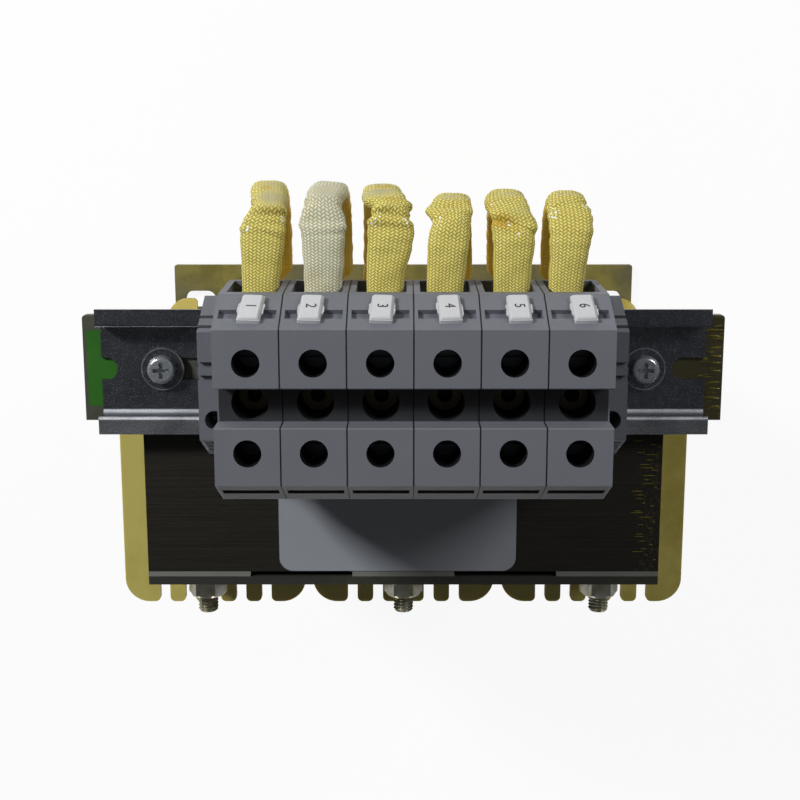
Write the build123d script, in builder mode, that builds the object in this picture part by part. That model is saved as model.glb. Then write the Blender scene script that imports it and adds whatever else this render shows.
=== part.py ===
from build123d import *
import os

# A three-phase motor reactor that stands on two foot angles. X runs along the core, Y runs
# across the stack towards the side where the leads loop out, and Z is up. The origin is on
# the floor, midway between the four foot slots. Lengths are in millimetres.

# Laminated core of three limbs, with an air gap under its upper yoke
limb_width = 29.6
window_width = 29.6
yoke_height = 30.0
limb_height = 90.0
stack_depth = 45.0
air_gap = 1.5
core_lift = 1.0

# Steel angles that clamp the yokes, two as feet and one as the rail's bracket
angle_leg = 30.0
angle_thickness = 3.0
angle_length = 180.0
angle_root_radius = 3.0
angle_corner_radius = 1.0
foot_slot_width = 6.5
foot_slot_length = 12.0
foot_slot_spacing = 160.0

# Flat clamp bar on the upper yoke's near side, held off by three packing strips
bar_thickness = 2.5
packing_thickness = 1.5

# Through bolts of the yokes
bolt_diameter = 6.0
bolt_hole = 6.6
bolt_tail = 5.3
bolt_tip_chamfer = 0.6
hex_across_flats = 10.0
head_height = 4.0
nut_height = 5.0
washer_diameter = 15.0
washer_thickness = 1.6
spring_washer_diameter = 11.4
spring_washer_thickness = 1.4

# Coil bobbins with combed flanges, and the windings on them
coil_gap = 2.4
limb_clearance = 0.5
tube_wall = 1.5
flange_thickness = 2.0
flange_lip = 0.8
flange_corner = 7.5
bobbin_play = 0.5
finger_length = 6.0
finger_count = 4
finger_width = 4.9
comb_gap = 3.1
finger_tip_radius = 1.6
winding_fit = 0.1
winding_end_bulge = 1.5
winding_corner = 12.0
turn_count = 12
turn_gap = 0.5
turn_gap_depth = 0.9

# Mounting rail of top-hat section
rail_width = 35.0
rail_hat_width = 27.0
rail_height = 7.5
rail_thickness = 1.0
rail_bend = 0.8
rail_length = 169.5
rail_slot_length = 15.0
rail_slot_width = 6.2
rail_slot_pitch = 24.4
rail_slot_count = 8
rail_slot_shift = -2.4
rail_screw_x = 67.5
rail_screw_diameter = 4.0
rail_screw_hole = 4.5
rail_screw_head = 8.0
rail_screw_head_height = 3.0
rail_screw_rounding = 1.3
rail_screw_length = 10.0
rail_washer_diameter = 12.0
rail_washer_thickness = 1.0
cross_recess_width = 1.1
cross_recess_span = 4.4
cross_recess_depth = 1.4

# Feed-through terminals, side by side on the rail
terminal_count = 6
terminal_pitch = 16.0
terminal_gap = 0.1
terminal_row_shift = 2.5
terminal_height = 57.0
terminal_top_half = 19.0
terminal_rim_half = 26.0
terminal_rim_height = 43.5
terminal_end_half = 27.2
terminal_end_height = 21.5
terminal_neck_half = 23.0
terminal_neck_height = 11.0
dip_half = 4.7
dip_floor_height = 49.5
dip_chamfer = 0.3
hook_reach = 1.3
hook_thickness = 2.1
hook_depth = 1.5
hook_clearance = 0.1
shaft_diameter = 6.8
shaft_offset = 11.0
well_diameter = 9.1
entry_width = 12.6
entry_wall_inside = 24.0
entry_height = 17.0
chamber_start = 5.8
chamber_height = 20.0
chamber_floor_height = 23.5
marker_channel_start = 4.7
marker_channel_width = 3.7
marker_channel_depth = 1.2
marker_channel_side_wall = 1.0

# Metal inside each terminal
bar_bottom_height = 32.5
current_bar_thickness = 3.0
current_bar_width = 9.0
current_bar_half = 17.0
boss_diameter = 8.0
boss_height = 3.5
boss_hole = 3.8
clamp_length = 8.0
clamp_width = 11.6
clamp_window_width = 9.4
clamp_window_height = 9.5
clamp_floor = 2.5
clamp_roof = 3.5
clamp_opening = 6.0
clamp_screw_diameter = 6.0
clamp_screw_length = 8.5
clamp_slot_width = 1.2
clamp_slot_depth = 1.6
fit = 0.05

# Marker tags clipped on the sloped shoulder of each terminal
tag_width = 5.6
tag_length = 9.8
tag_thickness = 1.6
tag_start = 2.4
tag_chamfer = 0.4

# End stops on both ends of the terminal row
stop_width = 8.0
stop_height = 28.0
stop_top_half = 14.3
stop_half = 21.8
stop_shoulder_height = 12.5
stop_groove_width = 1.4
stop_groove_depth = 1.4
stop_slope_grooves = (2.5, 7.1)
stop_tooth_start = 3.0
stop_tooth_pitch = 1.8
stop_tooth_count = 6
stop_tooth_width = 0.9
stop_tooth_depth = 0.6
stop_groove_offsets = (2.2, 5.7)
stop_screw_offset = 9.0
stop_screw_diameter = 4.0
stop_bore_diameter = 5.0
stop_bore_depth = 14.0
stop_screw_length = 19.0

# Leads: flat copper in a flattened sleeve that loops from each coil into its terminal
sleeve_width = 9.3
sleeve_thickness = 5.0
sleeve_chamfer = 1.3
lead_wire_width = 7.0
lead_wire_thickness = 2.5
lead_wire_depth = 13.0
sleeve_entry_depth = 7.0
loop_reaches = (23.3, 23.3, 22.8, 20.3, 21.3, 20.8)
loop_shoulder = 7.5
loop_crest_drop = 17.0
loop_waist = 3.0
loop_waist_drop = 45.0
loop_bend = 12.0
lead_arm_reach = 19.5
lead_exit_drops = (9.5, 16.0)
lead_exit_places = (-60.0, -45.5, -8.0, 10.0, 45.5, 60.0)

# Levels and places that follow from the sizes above
core_width = 3 * limb_width + 2 * window_width
phase_spacing = limb_width + window_width
phase_places = [-phase_spacing, 0.0, phase_spacing]
lower_yoke_top = core_lift + yoke_height
limb_top = lower_yoke_top + limb_height
upper_yoke_bottom = limb_top + air_gap
core_top = upper_yoke_bottom + yoke_height
bolt_levels = [core_lift + yoke_height / 2, core_top - yoke_height / 2]
stack_half = stack_depth / 2
angle_middle = stack_half + angle_leg / 2
foot_slot_y = stack_half + angle_thickness + (angle_leg - angle_thickness) / 2

tube_inner_x = limb_width / 2 + limb_clearance
tube_inner_y = stack_half + limb_clearance
tube_outer_x = tube_inner_x + tube_wall
tube_outer_y = tube_inner_y + tube_wall
flange_half_x = (phase_spacing - coil_gap) / 2
winding_half_x = flange_half_x - flange_lip
winding_build = winding_half_x - tube_outer_x
winding_half_y = tube_outer_y + winding_build + winding_end_bulge
flange_half_y = winding_half_y + finger_length
bobbin_top = upper_yoke_bottom - bobbin_play
winding_bottom = lower_yoke_top + flange_thickness
winding_top = bobbin_top - flange_thickness
turn_pitch = (winding_top - winding_bottom + turn_gap) / turn_count

rail_y = angle_middle
rail_base = core_top
terminal_row_start = terminal_row_shift - terminal_count * terminal_pitch / 2
terminal_width = terminal_pitch - terminal_gap
terminal_places = [terminal_row_start + terminal_pitch * (n + 0.5) for n in range(terminal_count)]
terminal_row_end = terminal_row_start + terminal_count * terminal_pitch
wire_clamp_sides = (-1, 1)
lead_clamp_floor_height = bar_bottom_height - lead_wire_thickness - fit
free_clamp_floor_height = bar_bottom_height - clamp_opening

os.makedirs("parts", exist_ok=True)


def save(part, name):
    """Labels a finished piece and writes it as the node of that name."""
    part.label = name
    export_step(part, f"parts/{name}.step")


def across_stack(x, z):
    """The plane in which a through bolt's round sections are drawn, facing the bolt's nut side."""
    return Plane(origin=(x, 0, z), x_dir=(1, 0, 0), z_dir=(0, -1, 0))


def make_core_e_stack():
    """Lower yoke and three limbs, cut by the lower bolts."""
    with BuildPart() as stack:
        with BuildSketch(Plane.XZ) as face:
            with Locations((0, core_lift + yoke_height / 2)):
                Rectangle(core_width, yoke_height)
            with Locations([(x, (lower_yoke_top + limb_top) / 2) for x in phase_places]):
                Rectangle(limb_width, limb_height)
            with Locations([(x, bolt_levels[0]) for x in phase_places]):
                Circle(bolt_hole / 2, mode=Mode.SUBTRACT)
        extrude(amount=stack_half, both=True)
    save(stack.part, "core_e_stack")


def make_core_i_yoke():
    """Upper yoke, a straight stack above the air gap."""
    with BuildPart() as yoke:
        with BuildSketch(Plane.XZ):
            with Locations((0, core_top - yoke_height / 2)):
                Rectangle(core_width, yoke_height)
            with Locations([(x, bolt_levels[1]) for x in phase_places]):
                Circle(bolt_hole / 2, mode=Mode.SUBTRACT)
        extrude(amount=stack_half, both=True)
    save(yoke.part, "core_i_yoke")


def make_gap_pads():
    """One insulating pad on each limb, as thick as the air gap."""
    for number, x in enumerate(phase_places, start=1):
        with BuildPart() as pad:
            with BuildSketch(Plane.XY.offset(limb_top)):
                with Locations((x, 0)):
                    Rectangle(limb_width, stack_depth)
            extrude(amount=air_gap)
        save(pad.part, f"gap_pad_{number}")


def angle_section(side, edge_level, rise):
    """L section with its upright leg on the stack's face. The other leg stands out at the edge level."""
    face = side * stack_half
    inner = face + side * angle_thickness
    toe = face + side * angle_leg
    web_top = edge_level + rise * angle_thickness
    with BuildSketch(Plane.YZ.offset(-angle_length / 2)) as section:
        with BuildLine():
            Polyline(
                (face, edge_level),
                (toe, edge_level),
                (toe, web_top),
                (inner, web_top),
                (inner, edge_level + rise * angle_leg),
                (face, edge_level + rise * angle_leg),
                close=True,
            )
        make_face()
        root = section.vertices().sort_by_distance((inner, web_top, 0))[0]
        fillet(root, radius=angle_root_radius)
    return section.sketch


def make_angle(name, side, edge_level, rise, bolt_level, openings):
    """Angle of the full length, bored for the yoke bolts, with its own openings in the standing-out leg."""
    toe = side * (stack_half + angle_leg)
    with BuildPart() as angle:
        extrude(angle_section(side, edge_level, rise), amount=angle_length)
        corners = angle.edges().filter_by(Axis.Z).filter_by(lambda e: abs(e.center().Y - toe) < fit)
        fillet(corners, radius=angle_corner_radius)
        with BuildSketch(Plane.XZ):
            with Locations([(x, bolt_level) for x in phase_places]):
                Circle(bolt_hole / 2)
        extrude(amount=-side * (stack_half + 2 * angle_thickness), mode=Mode.SUBTRACT)
        with BuildSketch(Plane.XY.offset(edge_level)):
            openings(side)
        extrude(amount=rise * 2 * angle_thickness, mode=Mode.SUBTRACT)
    save(angle.part, name)


def foot_slots(side):
    """The two slots through which one foot is bolted down."""
    with Locations([(sign * foot_slot_spacing / 2, side * foot_slot_y) for sign in (-1, 1)]):
        SlotOverall(foot_slot_length, foot_slot_width)


def rail_screw_holes(side):
    """The two tapped holes of the rail's screws."""
    with Locations([(sign * rail_screw_x, side * rail_y) for sign in (-1, 1)]):
        Circle(rail_screw_diameter / 2 + fit)


def make_clamp_bar():
    """Flat bar that spreads the upper bolts' load on the near side."""
    back = -stack_half - packing_thickness
    with BuildPart() as bar:
        with BuildSketch(Plane.XZ.offset(-back)):
            with Locations((0, core_top - yoke_height / 2)):
                Rectangle(core_width, yoke_height)
            with Locations([(x, bolt_levels[1]) for x in phase_places]):
                Circle(bolt_hole / 2, mode=Mode.SUBTRACT)
        extrude(amount=bar_thickness)
    save(bar.part, "clamp_bar")


def make_packing_strips():
    """Packing between the upper yoke and the clamp bar, one strip over each limb."""
    for number, x in enumerate(phase_places, start=1):
        with BuildPart() as strip:
            with BuildSketch(Plane.XZ.offset(stack_half)):
                with Locations((x, core_top - yoke_height / 2)):
                    Rectangle(limb_width, yoke_height)
                    Circle(bolt_hole / 2, mode=Mode.SUBTRACT)
            extrude(amount=packing_thickness)
        save(strip.part, f"packing_strip_{number}")


def nut_face(level):
    """How far the outer face under a nut stands from the core's middle."""
    if level == bolt_levels[0]:
        return stack_half + angle_thickness
    return stack_half + packing_thickness + bar_thickness


def make_core_bolts():
    """Six hexagon bolts, heads on the far side under the standing-out legs."""
    head_face = stack_half + angle_thickness + washer_thickness
    with BuildPart() as bolts:
        for level in bolt_levels:
            tip = nut_face(level) + washer_thickness + spring_washer_thickness + nut_height + bolt_tail
            for x in phase_places:
                with BuildSketch(across_stack(x, level).offset(-head_face)):
                    RegularPolygon(hex_across_flats / 2, 6, major_radius=False)
                extrude(amount=-head_height)
                with BuildSketch(across_stack(x, level).offset(-head_face)):
                    Circle(bolt_diameter / 2)
                extrude(amount=head_face + tip)
        tips = bolts.edges().filter_by(GeomType.CIRCLE).group_by(Axis.Y)
        for level_edges in tips[:2]:
            chamfer(level_edges, length=bolt_tip_chamfer)
    save(bolts.part, "core_bolts")


def make_core_nuts():
    """Six hexagon nuts on the near side."""
    with BuildPart() as nuts:
        for level in bolt_levels:
            seat = nut_face(level) + washer_thickness + spring_washer_thickness
            for x in phase_places:
                with BuildSketch(across_stack(x, level).offset(seat)):
                    RegularPolygon(hex_across_flats / 2, 6, major_radius=False)
                    Circle(bolt_diameter / 2 + fit, mode=Mode.SUBTRACT)
                extrude(amount=nut_height)
    save(nuts.part, "core_nuts")


def ring(plane, outer, inner, thickness):
    """Adds a flat ring that stands on a plane."""
    with BuildSketch(plane) as annulus:
        Circle(outer / 2)
        Circle(inner / 2, mode=Mode.SUBTRACT)
    extrude(annulus.sketch, amount=thickness)


def make_core_washers():
    """Wide washers under the six heads and the six nuts."""
    with BuildPart() as washers:
        for level in bolt_levels:
            for x in phase_places:
                plane = across_stack(x, level)
                ring(plane.offset(nut_face(level)), washer_diameter, bolt_hole, washer_thickness)
                head_side = plane.offset(-stack_half - angle_thickness)
                ring(head_side, washer_diameter, bolt_hole, -washer_thickness)
    save(washers.part, "core_washers")


def make_spring_washers():
    """Spring washers between the near washers and the nuts."""
    with BuildPart() as washers:
        for level in bolt_levels:
            for x in phase_places:
                plane = across_stack(x, level).offset(nut_face(level) + washer_thickness)
                ring(plane, spring_washer_diameter, bolt_hole, spring_washer_thickness)
    save(washers.part, "spring_washers")


def comb_gaps(x):
    """The gaps between a flange's fingers, at both ends of the coil."""
    pitch = finger_width + comb_gap
    first = -finger_count / 2 * pitch
    for side in (-1, 1):
        middle = side * (flange_half_y - finger_length / 2)
        with Locations([(x + first + pitch * n, middle) for n in range(finger_count + 1)]):
            Rectangle(comb_gap, finger_length, mode=Mode.SUBTRACT)


def flange_outline(x, bottom):
    """Bobbin flange with rounded corners, combed ends and the limb's opening."""
    with BuildSketch(Plane.XY.offset(bottom)) as sheet:
        with Locations((x, 0)):
            RectangleRounded(2 * flange_half_x, 2 * flange_half_y, flange_corner)
            Rectangle(2 * tube_inner_x, 2 * tube_inner_y, mode=Mode.SUBTRACT)
        comb_gaps(x)
        tips = sheet.vertices().filter_by(
            lambda v: abs(abs(v.Y) - flange_half_y) < fit and abs(v.X - x) < flange_half_x - flange_corner - fit
        )
        fillet(tips, radius=finger_tip_radius)
    return sheet.sketch


def make_bobbins():
    """Three moulded bobbins: a square tube round the limb and two combed flanges."""
    for number, x in enumerate(phase_places, start=1):
        with BuildPart() as bobbin:
            with BuildSketch(Plane.XY.offset(lower_yoke_top)):
                with Locations((x, 0)):
                    Rectangle(2 * tube_outer_x, 2 * tube_outer_y)
                    Rectangle(2 * tube_inner_x, 2 * tube_inner_y, mode=Mode.SUBTRACT)
            extrude(amount=bobbin_top - lower_yoke_top)
            extrude(flange_outline(x, lower_yoke_top), amount=flange_thickness)
            extrude(flange_outline(x, winding_top), amount=flange_thickness)
        save(bobbin.part, f"bobbin_{number}")


def winding_outline(inset):
    """Section across a winding. The inset draws in its outer face, as in the gaps between turns."""
    outer_x = 2 * (winding_half_x - inset)
    outer_y = 2 * (winding_half_y - inset)
    RectangleRounded(outer_x, outer_y, winding_corner - inset)
    inner_x = 2 * (tube_outer_x + winding_fit)
    inner_y = 2 * (tube_outer_y + winding_fit)
    Rectangle(inner_x, inner_y, mode=Mode.SUBTRACT)


def make_windings():
    """Three windings, each a closed ring of flat turns between its bobbin's flanges."""
    for number, x in enumerate(phase_places, start=1):
        with BuildPart() as winding:
            with BuildSketch(Plane.XY.offset(winding_bottom)):
                with Locations((x, 0)):
                    winding_outline(turn_gap_depth)
            extrude(amount=winding_top - winding_bottom)
            for turn in range(turn_count):
                with BuildSketch(Plane.XY.offset(winding_bottom + turn * turn_pitch)):
                    with Locations((x, 0)):
                        winding_outline(0.0)
                extrude(amount=turn_pitch - turn_gap)
        save(winding.part, f"winding_{number}")


def rail_profile(x, half_outline):
    """A symmetrical profile on the rail, drawn in the plane across it at a given X."""
    plane = Plane(origin=(x, rail_y, rail_base), x_dir=(0, 1, 0), z_dir=(1, 0, 0))
    with BuildSketch(plane) as profile:
        with BuildLine():
            Polyline(*half_outline)
            Polyline(*[(-offset, height) for offset, height in half_outline])
        make_face()
    return profile.sketch


def make_din_rail():
    """Top-hat rail with a row of slots and the screws' holes. Its ends cut through the outermost slots."""
    lip = rail_width / 2
    wall_out = rail_hat_width / 2
    wall_in = wall_out - rail_thickness
    half_outline = [
        (0, rail_thickness),
        (wall_in, rail_thickness),
        (wall_in, rail_height),
        (lip, rail_height),
        (lip, rail_height - rail_thickness),
        (wall_out, rail_height - rail_thickness),
        (wall_out, 0),
        (0, 0),
    ]
    with BuildPart() as rail:
        extrude(rail_profile(-rail_length / 2, half_outline), amount=rail_length)
        bends = rail.edges().filter_by(Axis.X).filter_by(lambda e: abs(e.center().Y - rail_y) < lip - fit)
        fillet(bends, radius=rail_bend)
        first = rail_slot_shift - (rail_slot_count - 1) / 2 * rail_slot_pitch
        with BuildSketch(Plane.XY.offset(rail_base)):
            with Locations([(first + rail_slot_pitch * n, rail_y) for n in range(rail_slot_count)]):
                SlotOverall(rail_slot_length, rail_slot_width)
            with Locations([(x, rail_y) for x in (-rail_screw_x, rail_screw_x)]):
                Circle(rail_screw_hole / 2)
        extrude(amount=2 * rail_thickness, mode=Mode.SUBTRACT)
    save(rail.part, "din_rail")


def make_rail_screws():
    """Two pan-head screws with a cross recess, tapped into the bracket."""
    seat = rail_base + rail_thickness + rail_washer_thickness
    crown = seat + rail_screw_head_height
    places = [(x, rail_y) for x in (-rail_screw_x, rail_screw_x)]
    with BuildPart() as screws:
        with BuildSketch(Plane.XY.offset(seat)):
            with Locations(places):
                Circle(rail_screw_head / 2)
        extrude(amount=rail_screw_head_height)
        fillet(screws.edges().group_by(Axis.Z)[-1], radius=rail_screw_rounding)
        with BuildSketch(Plane.XY.offset(seat)):
            with Locations(places):
                Circle(rail_screw_diameter / 2)
        extrude(amount=-rail_screw_length)
        with BuildSketch(Plane.XY.offset(crown)):
            with Locations(places):
                Rectangle(cross_recess_span, cross_recess_width)
                Rectangle(cross_recess_width, cross_recess_span)
        extrude(amount=-cross_recess_depth, mode=Mode.SUBTRACT)
    save(screws.part, "rail_screws")


def make_rail_washers():
    """The washers under the rail's screws."""
    with BuildPart() as washers:
        for x in (-rail_screw_x, rail_screw_x):
            plane = Plane(origin=(x, rail_y, rail_base + rail_thickness))
            ring(plane, rail_washer_diameter, rail_screw_diameter + 4 * fit, rail_washer_thickness)
    save(washers.part, "rail_washers")


def rail_hook():
    """Half outline from the neck down round the rail's lip, as points of offset and height."""
    lip = rail_width / 2
    outer = lip + hook_clearance + hook_thickness
    under = rail_height - rail_thickness - hook_clearance
    return [
        (outer, terminal_neck_height - hook_depth),
        (outer, under - hook_depth),
        (lip - hook_reach, under - hook_depth),
        (lip - hook_reach, under),
        (lip + hook_clearance, under),
        (lip + hook_clearance, rail_height),
        (0, rail_height),
    ]


def terminal_outline():
    """Half outline of a terminal, from the floor of its dip to the middle of its foot."""
    return [
        (0, dip_floor_height),
        (dip_half, dip_floor_height),
        (dip_half, terminal_height - dip_chamfer),
        (dip_half + dip_chamfer, terminal_height),
        (terminal_top_half, terminal_height),
        (terminal_rim_half, terminal_rim_height),
        (terminal_end_half, terminal_end_height),
        (terminal_neck_half, terminal_neck_height),
    ] + rail_hook()


def slope_plane(x, side, upper, lower):
    """The plane of a slope across the rail, from its upper edge to its lower one, each an offset and a height.

    Its origin is on the upper edge and its X runs down the slope.
    """
    edge = Vector(x, rail_y + side * upper[0], rail_base + upper[1])
    fall = Vector(0, side * (lower[0] - upper[0]), lower[1] - upper[1]).normalized()
    across = Vector(side, 0, 0)
    return Plane(origin=edge, x_dir=fall, z_dir=across.cross(fall))


def shoulder_plane(x, side):
    """The plane of a terminal's sloped shoulder."""
    upper = (terminal_top_half, terminal_height)
    return slope_plane(x, side, upper, (terminal_rim_half, terminal_rim_height))


def cut_wire_chamber(x, side):
    """Chamber of one wire clamp with its entry, its screwdriver shaft and its marker channel."""
    floor = rail_base + chamber_floor_height
    for start, stop, height in (
        (chamber_start, entry_wall_inside, chamber_height),
        (entry_wall_inside, terminal_end_half + hook_clearance, entry_height),
    ):
        with BuildSketch(Plane.XY.offset(floor)) as plan:
            with Locations((x, rail_y + side * (start + stop) / 2)):
                Rectangle(entry_width, stop - start)
        extrude(plan.sketch, amount=height, mode=Mode.SUBTRACT)
    with BuildSketch(Plane.XY.offset(rail_base + terminal_height)) as shaft:
        with Locations((x, rail_y + side * shaft_offset)):
            Circle(shaft_diameter / 2)
    shaft_depth = terminal_height - chamber_floor_height - chamber_height / 2
    extrude(shaft.sketch, amount=-shaft_depth, mode=Mode.SUBTRACT)
    with BuildSketch(shoulder_plane(x, side)) as channel:
        with Locations((marker_channel_start + marker_channel_width / 2, 0)):
            Rectangle(marker_channel_width, terminal_width - 2 * marker_channel_side_wall)
    extrude(channel.sketch, amount=-marker_channel_depth, mode=Mode.SUBTRACT)


def make_terminal_bodies():
    """Six moulded terminal housings, open where wires, screwdrivers and jumpers go in."""
    for number, x in enumerate(terminal_places, start=1):
        with BuildPart() as body:
            extrude(rail_profile(x - terminal_width / 2, terminal_outline()), amount=terminal_width)
            for side in wire_clamp_sides:
                cut_wire_chamber(x, side)
            with BuildSketch(Plane.XY.offset(rail_base + dip_floor_height)):
                with Locations((x, rail_y)):
                    Circle(well_diameter / 2)
            extrude(amount=bar_bottom_height - dip_floor_height, mode=Mode.SUBTRACT)
            with BuildSketch(Plane.XY.offset(rail_base + bar_bottom_height)):
                with Locations((x, rail_y)):
                    Rectangle(current_bar_width + 4 * fit, 2 * chamber_start + fit)
            extrude(amount=current_bar_thickness + fit, mode=Mode.SUBTRACT)
        save(body.part, f"terminal_body_{number}")


def make_current_bars():
    """Brass bars through the terminals, each with a tapped boss under the dip."""
    for number, x in enumerate(terminal_places, start=1):
        with BuildPart() as bar:
            with BuildSketch(Plane.XY.offset(rail_base + bar_bottom_height)):
                with Locations((x, rail_y)):
                    Rectangle(current_bar_width, 2 * current_bar_half)
            extrude(amount=current_bar_thickness)
            with BuildSketch(Plane.XY.offset(rail_base + bar_bottom_height)):
                with Locations((x, rail_y)):
                    Circle(boss_diameter / 2)
            extrude(amount=current_bar_thickness + boss_height)
            with BuildSketch(Plane.XY.offset(rail_base + bar_bottom_height)):
                with Locations((x, rail_y)):
                    Circle(boss_hole / 2)
            extrude(amount=current_bar_thickness + boss_height, mode=Mode.SUBTRACT)
        save(bar.part, f"current_bar_{number}")


def clamp_floor_height(side):
    """Height of a clamp's inner floor: drawn up on the lead's side, open on the other."""
    return lead_clamp_floor_height if side > 0 else free_clamp_floor_height


def make_wire_clamps():
    """Twelve steel cages round the current bars, tapped for their screws."""
    with BuildPart() as clamps:
        for x in terminal_places:
            for side in wire_clamp_sides:
                floor = rail_base + clamp_floor_height(side)
                middle = rail_y + side * shaft_offset
                plane = Plane(origin=(x, middle, 0), x_dir=(1, 0, 0), z_dir=(0, -1, 0))
                height = clamp_floor + clamp_window_height + clamp_roof
                with BuildSketch(plane):
                    with Locations((0, floor - clamp_floor + height / 2)):
                        Rectangle(clamp_width, height)
                    with Locations((0, floor + clamp_window_height / 2)):
                        Rectangle(clamp_window_width, clamp_window_height, mode=Mode.SUBTRACT)
                extrude(amount=clamp_length / 2, both=True)
                with BuildSketch(Plane.XY.offset(floor + clamp_window_height)):
                    with Locations((x, middle)):
                        Circle(clamp_screw_diameter / 2 + fit)
                extrude(amount=clamp_roof, mode=Mode.SUBTRACT)
    save(clamps.part, "wire_clamps")


def make_clamp_screws():
    """Twelve slotted screws that press on the current bars."""
    tip = rail_base + bar_bottom_height + current_bar_thickness
    with BuildPart() as screws:
        places = [(x, rail_y + side * shaft_offset) for x in terminal_places for side in wire_clamp_sides]
        with BuildSketch(Plane.XY.offset(tip)):
            with Locations(places):
                Circle(clamp_screw_diameter / 2)
        extrude(amount=clamp_screw_length)
        with BuildSketch(Plane.XY.offset(tip + clamp_screw_length)):
            with Locations(places):
                Rectangle(clamp_screw_diameter, clamp_slot_width)
        extrude(amount=-clamp_slot_depth, mode=Mode.SUBTRACT)
    save(screws.part, "clamp_screws")


def make_marker_tags():
    """White tags that clip over the marker channels on the leads' side."""
    for number, x in enumerate(terminal_places, start=1):
        shoulder = shoulder_plane(x, 1)
        with BuildPart() as tag:
            with BuildSketch(shoulder):
                with Locations((tag_start + tag_length / 2, 0)):
                    Rectangle(tag_length, tag_width)
            extrude(amount=tag_thickness)
            crown = tag.faces().sort_by(Axis(shoulder.origin, shoulder.z_dir))[-1]
            chamfer(crown.edges(), length=tag_chamfer)
        save(tag.part, f"marker_tag_{number}")


def stop_outline():
    """Half outline of an end stop, low beside the terminals, with its sloped shoulder."""
    return [
        (0, stop_height),
        (stop_top_half, stop_height),
        (stop_half, stop_shoulder_height),
        (stop_half, terminal_neck_height),
    ] + rail_hook()


def stop_slope(x, side):
    """The plane of an end stop's slope."""
    return slope_plane(x, side, (stop_top_half, stop_height), (stop_half, stop_shoulder_height))


def make_end_stop(name, x):
    """End stop with grooves across its top and far slope, teeth on its near one, and a screw's hole."""
    with BuildPart() as stop:
        extrude(rail_profile(x - stop_width / 2, stop_outline()), amount=stop_width)
        with BuildSketch(Plane.XY.offset(rail_base + stop_height)):
            with Locations([(x, rail_y + offset) for offset in stop_groove_offsets]):
                Rectangle(stop_width, stop_groove_width)
        extrude(amount=-stop_groove_depth, mode=Mode.SUBTRACT)
        with BuildSketch(stop_slope(x, 1)):
            with Locations([(place, 0) for place in stop_slope_grooves]):
                Rectangle(stop_groove_width, stop_width)
        extrude(amount=-stop_groove_depth, mode=Mode.SUBTRACT)
        with BuildSketch(stop_slope(x, -1)):
            with Locations([(stop_tooth_start + stop_tooth_pitch * n, 0) for n in range(stop_tooth_count)]):
                Rectangle(stop_tooth_width, stop_width)
        extrude(amount=-stop_tooth_depth, mode=Mode.SUBTRACT)
        with BuildSketch(Plane.XY.offset(rail_base + stop_height)):
            with Locations((x, rail_y - stop_screw_offset)):
                Circle(stop_bore_diameter / 2)
        extrude(amount=-stop_bore_depth, mode=Mode.SUBTRACT)
        with BuildSketch(Plane.XY.offset(rail_base + rail_height)):
            with Locations((x, rail_y - stop_screw_offset)):
                Circle(stop_screw_diameter / 2 + fit)
        extrude(amount=stop_height - rail_height - stop_bore_depth, mode=Mode.SUBTRACT)
    save(stop.part, name)


def stop_places():
    """X of the two end stops, against the first terminal and against the last."""
    return (terminal_row_start - stop_width / 2, terminal_row_end + stop_width / 2)


def make_end_stop_screws():
    """Slotted screws that press on the rail's floor through the end stops."""
    foot = rail_base + rail_thickness
    places = [(x, rail_y - stop_screw_offset) for x in stop_places()]
    with BuildPart() as screws:
        with BuildSketch(Plane.XY.offset(foot)):
            with Locations(places):
                Circle(stop_screw_diameter / 2)
        extrude(amount=stop_screw_length)
        with BuildSketch(Plane.XY.offset(foot + stop_screw_length)):
            with Locations(places):
                Rectangle(stop_screw_diameter, clamp_slot_width)
        extrude(amount=-clamp_slot_depth, mode=Mode.SUBTRACT)
    save(screws.part, "end_stop_screws")


def make_lead_sleeves():
    """Six sleeved leads. Each runs out of its coil, loops up and turns back into its terminal."""
    at_terminal = rail_base + bar_bottom_height - lead_wire_thickness / 2
    start = rail_y + terminal_end_half - sleeve_entry_depth
    arm_root = winding_half_y + lead_arm_reach
    for number, (x, exit_x, loop_reach) in enumerate(
        zip(terminal_places, lead_exit_places, loop_reaches), start=1
    ):
        at_coil = winding_top - lead_exit_drops[number % 2]
        reach = rail_y + terminal_end_half + loop_reach
        with BuildPart() as sleeve:
            with BuildSketch(Plane.YZ.offset(x - sleeve_width / 2)):
                with BuildLine():
                    FilletPolyline(
                        (start, at_terminal),
                        (reach - loop_shoulder, at_terminal),
                        (reach, at_terminal - loop_crest_drop),
                        (reach - loop_waist, at_terminal - loop_waist_drop),
                        (arm_root, at_coil),
                        (arm_root - sleeve_width, at_coil),
                        radius=loop_bend,
                    )
                trace(line_width=sleeve_thickness)
            extrude(amount=sleeve_width)
            sides = sleeve.edges().filter_by(Plane.YZ).filter_by(Axis.Z, reverse=True)
            chamfer(sides, length=sleeve_chamfer)
            with BuildSketch(Plane.XY.offset(at_coil - sleeve_thickness / 2)):
                with BuildLine():
                    Polyline(
                        (x, arm_root - sleeve_chamfer),
                        (x, arm_root - sleeve_width / 2),
                        (exit_x, winding_half_y + sleeve_width / 2),
                        (exit_x, winding_half_y),
                    )
                trace(line_width=sleeve_width)
            extrude(amount=sleeve_thickness)
        save(sleeve.part, f"lead_sleeve_{number}")


def make_wire_ends():
    """Bare flat copper ends that the wire clamps hold under the current bars."""
    start = rail_y + terminal_end_half - sleeve_entry_depth
    with BuildPart() as ends:
        with BuildSketch(Plane.XY.offset(rail_base + bar_bottom_height - lead_wire_thickness)):
            with Locations([(x, start - lead_wire_depth / 2) for x in terminal_places]):
                Rectangle(lead_wire_width, lead_wire_depth)
        extrude(amount=lead_wire_thickness)
    save(ends.part, "wire_ends")


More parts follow.
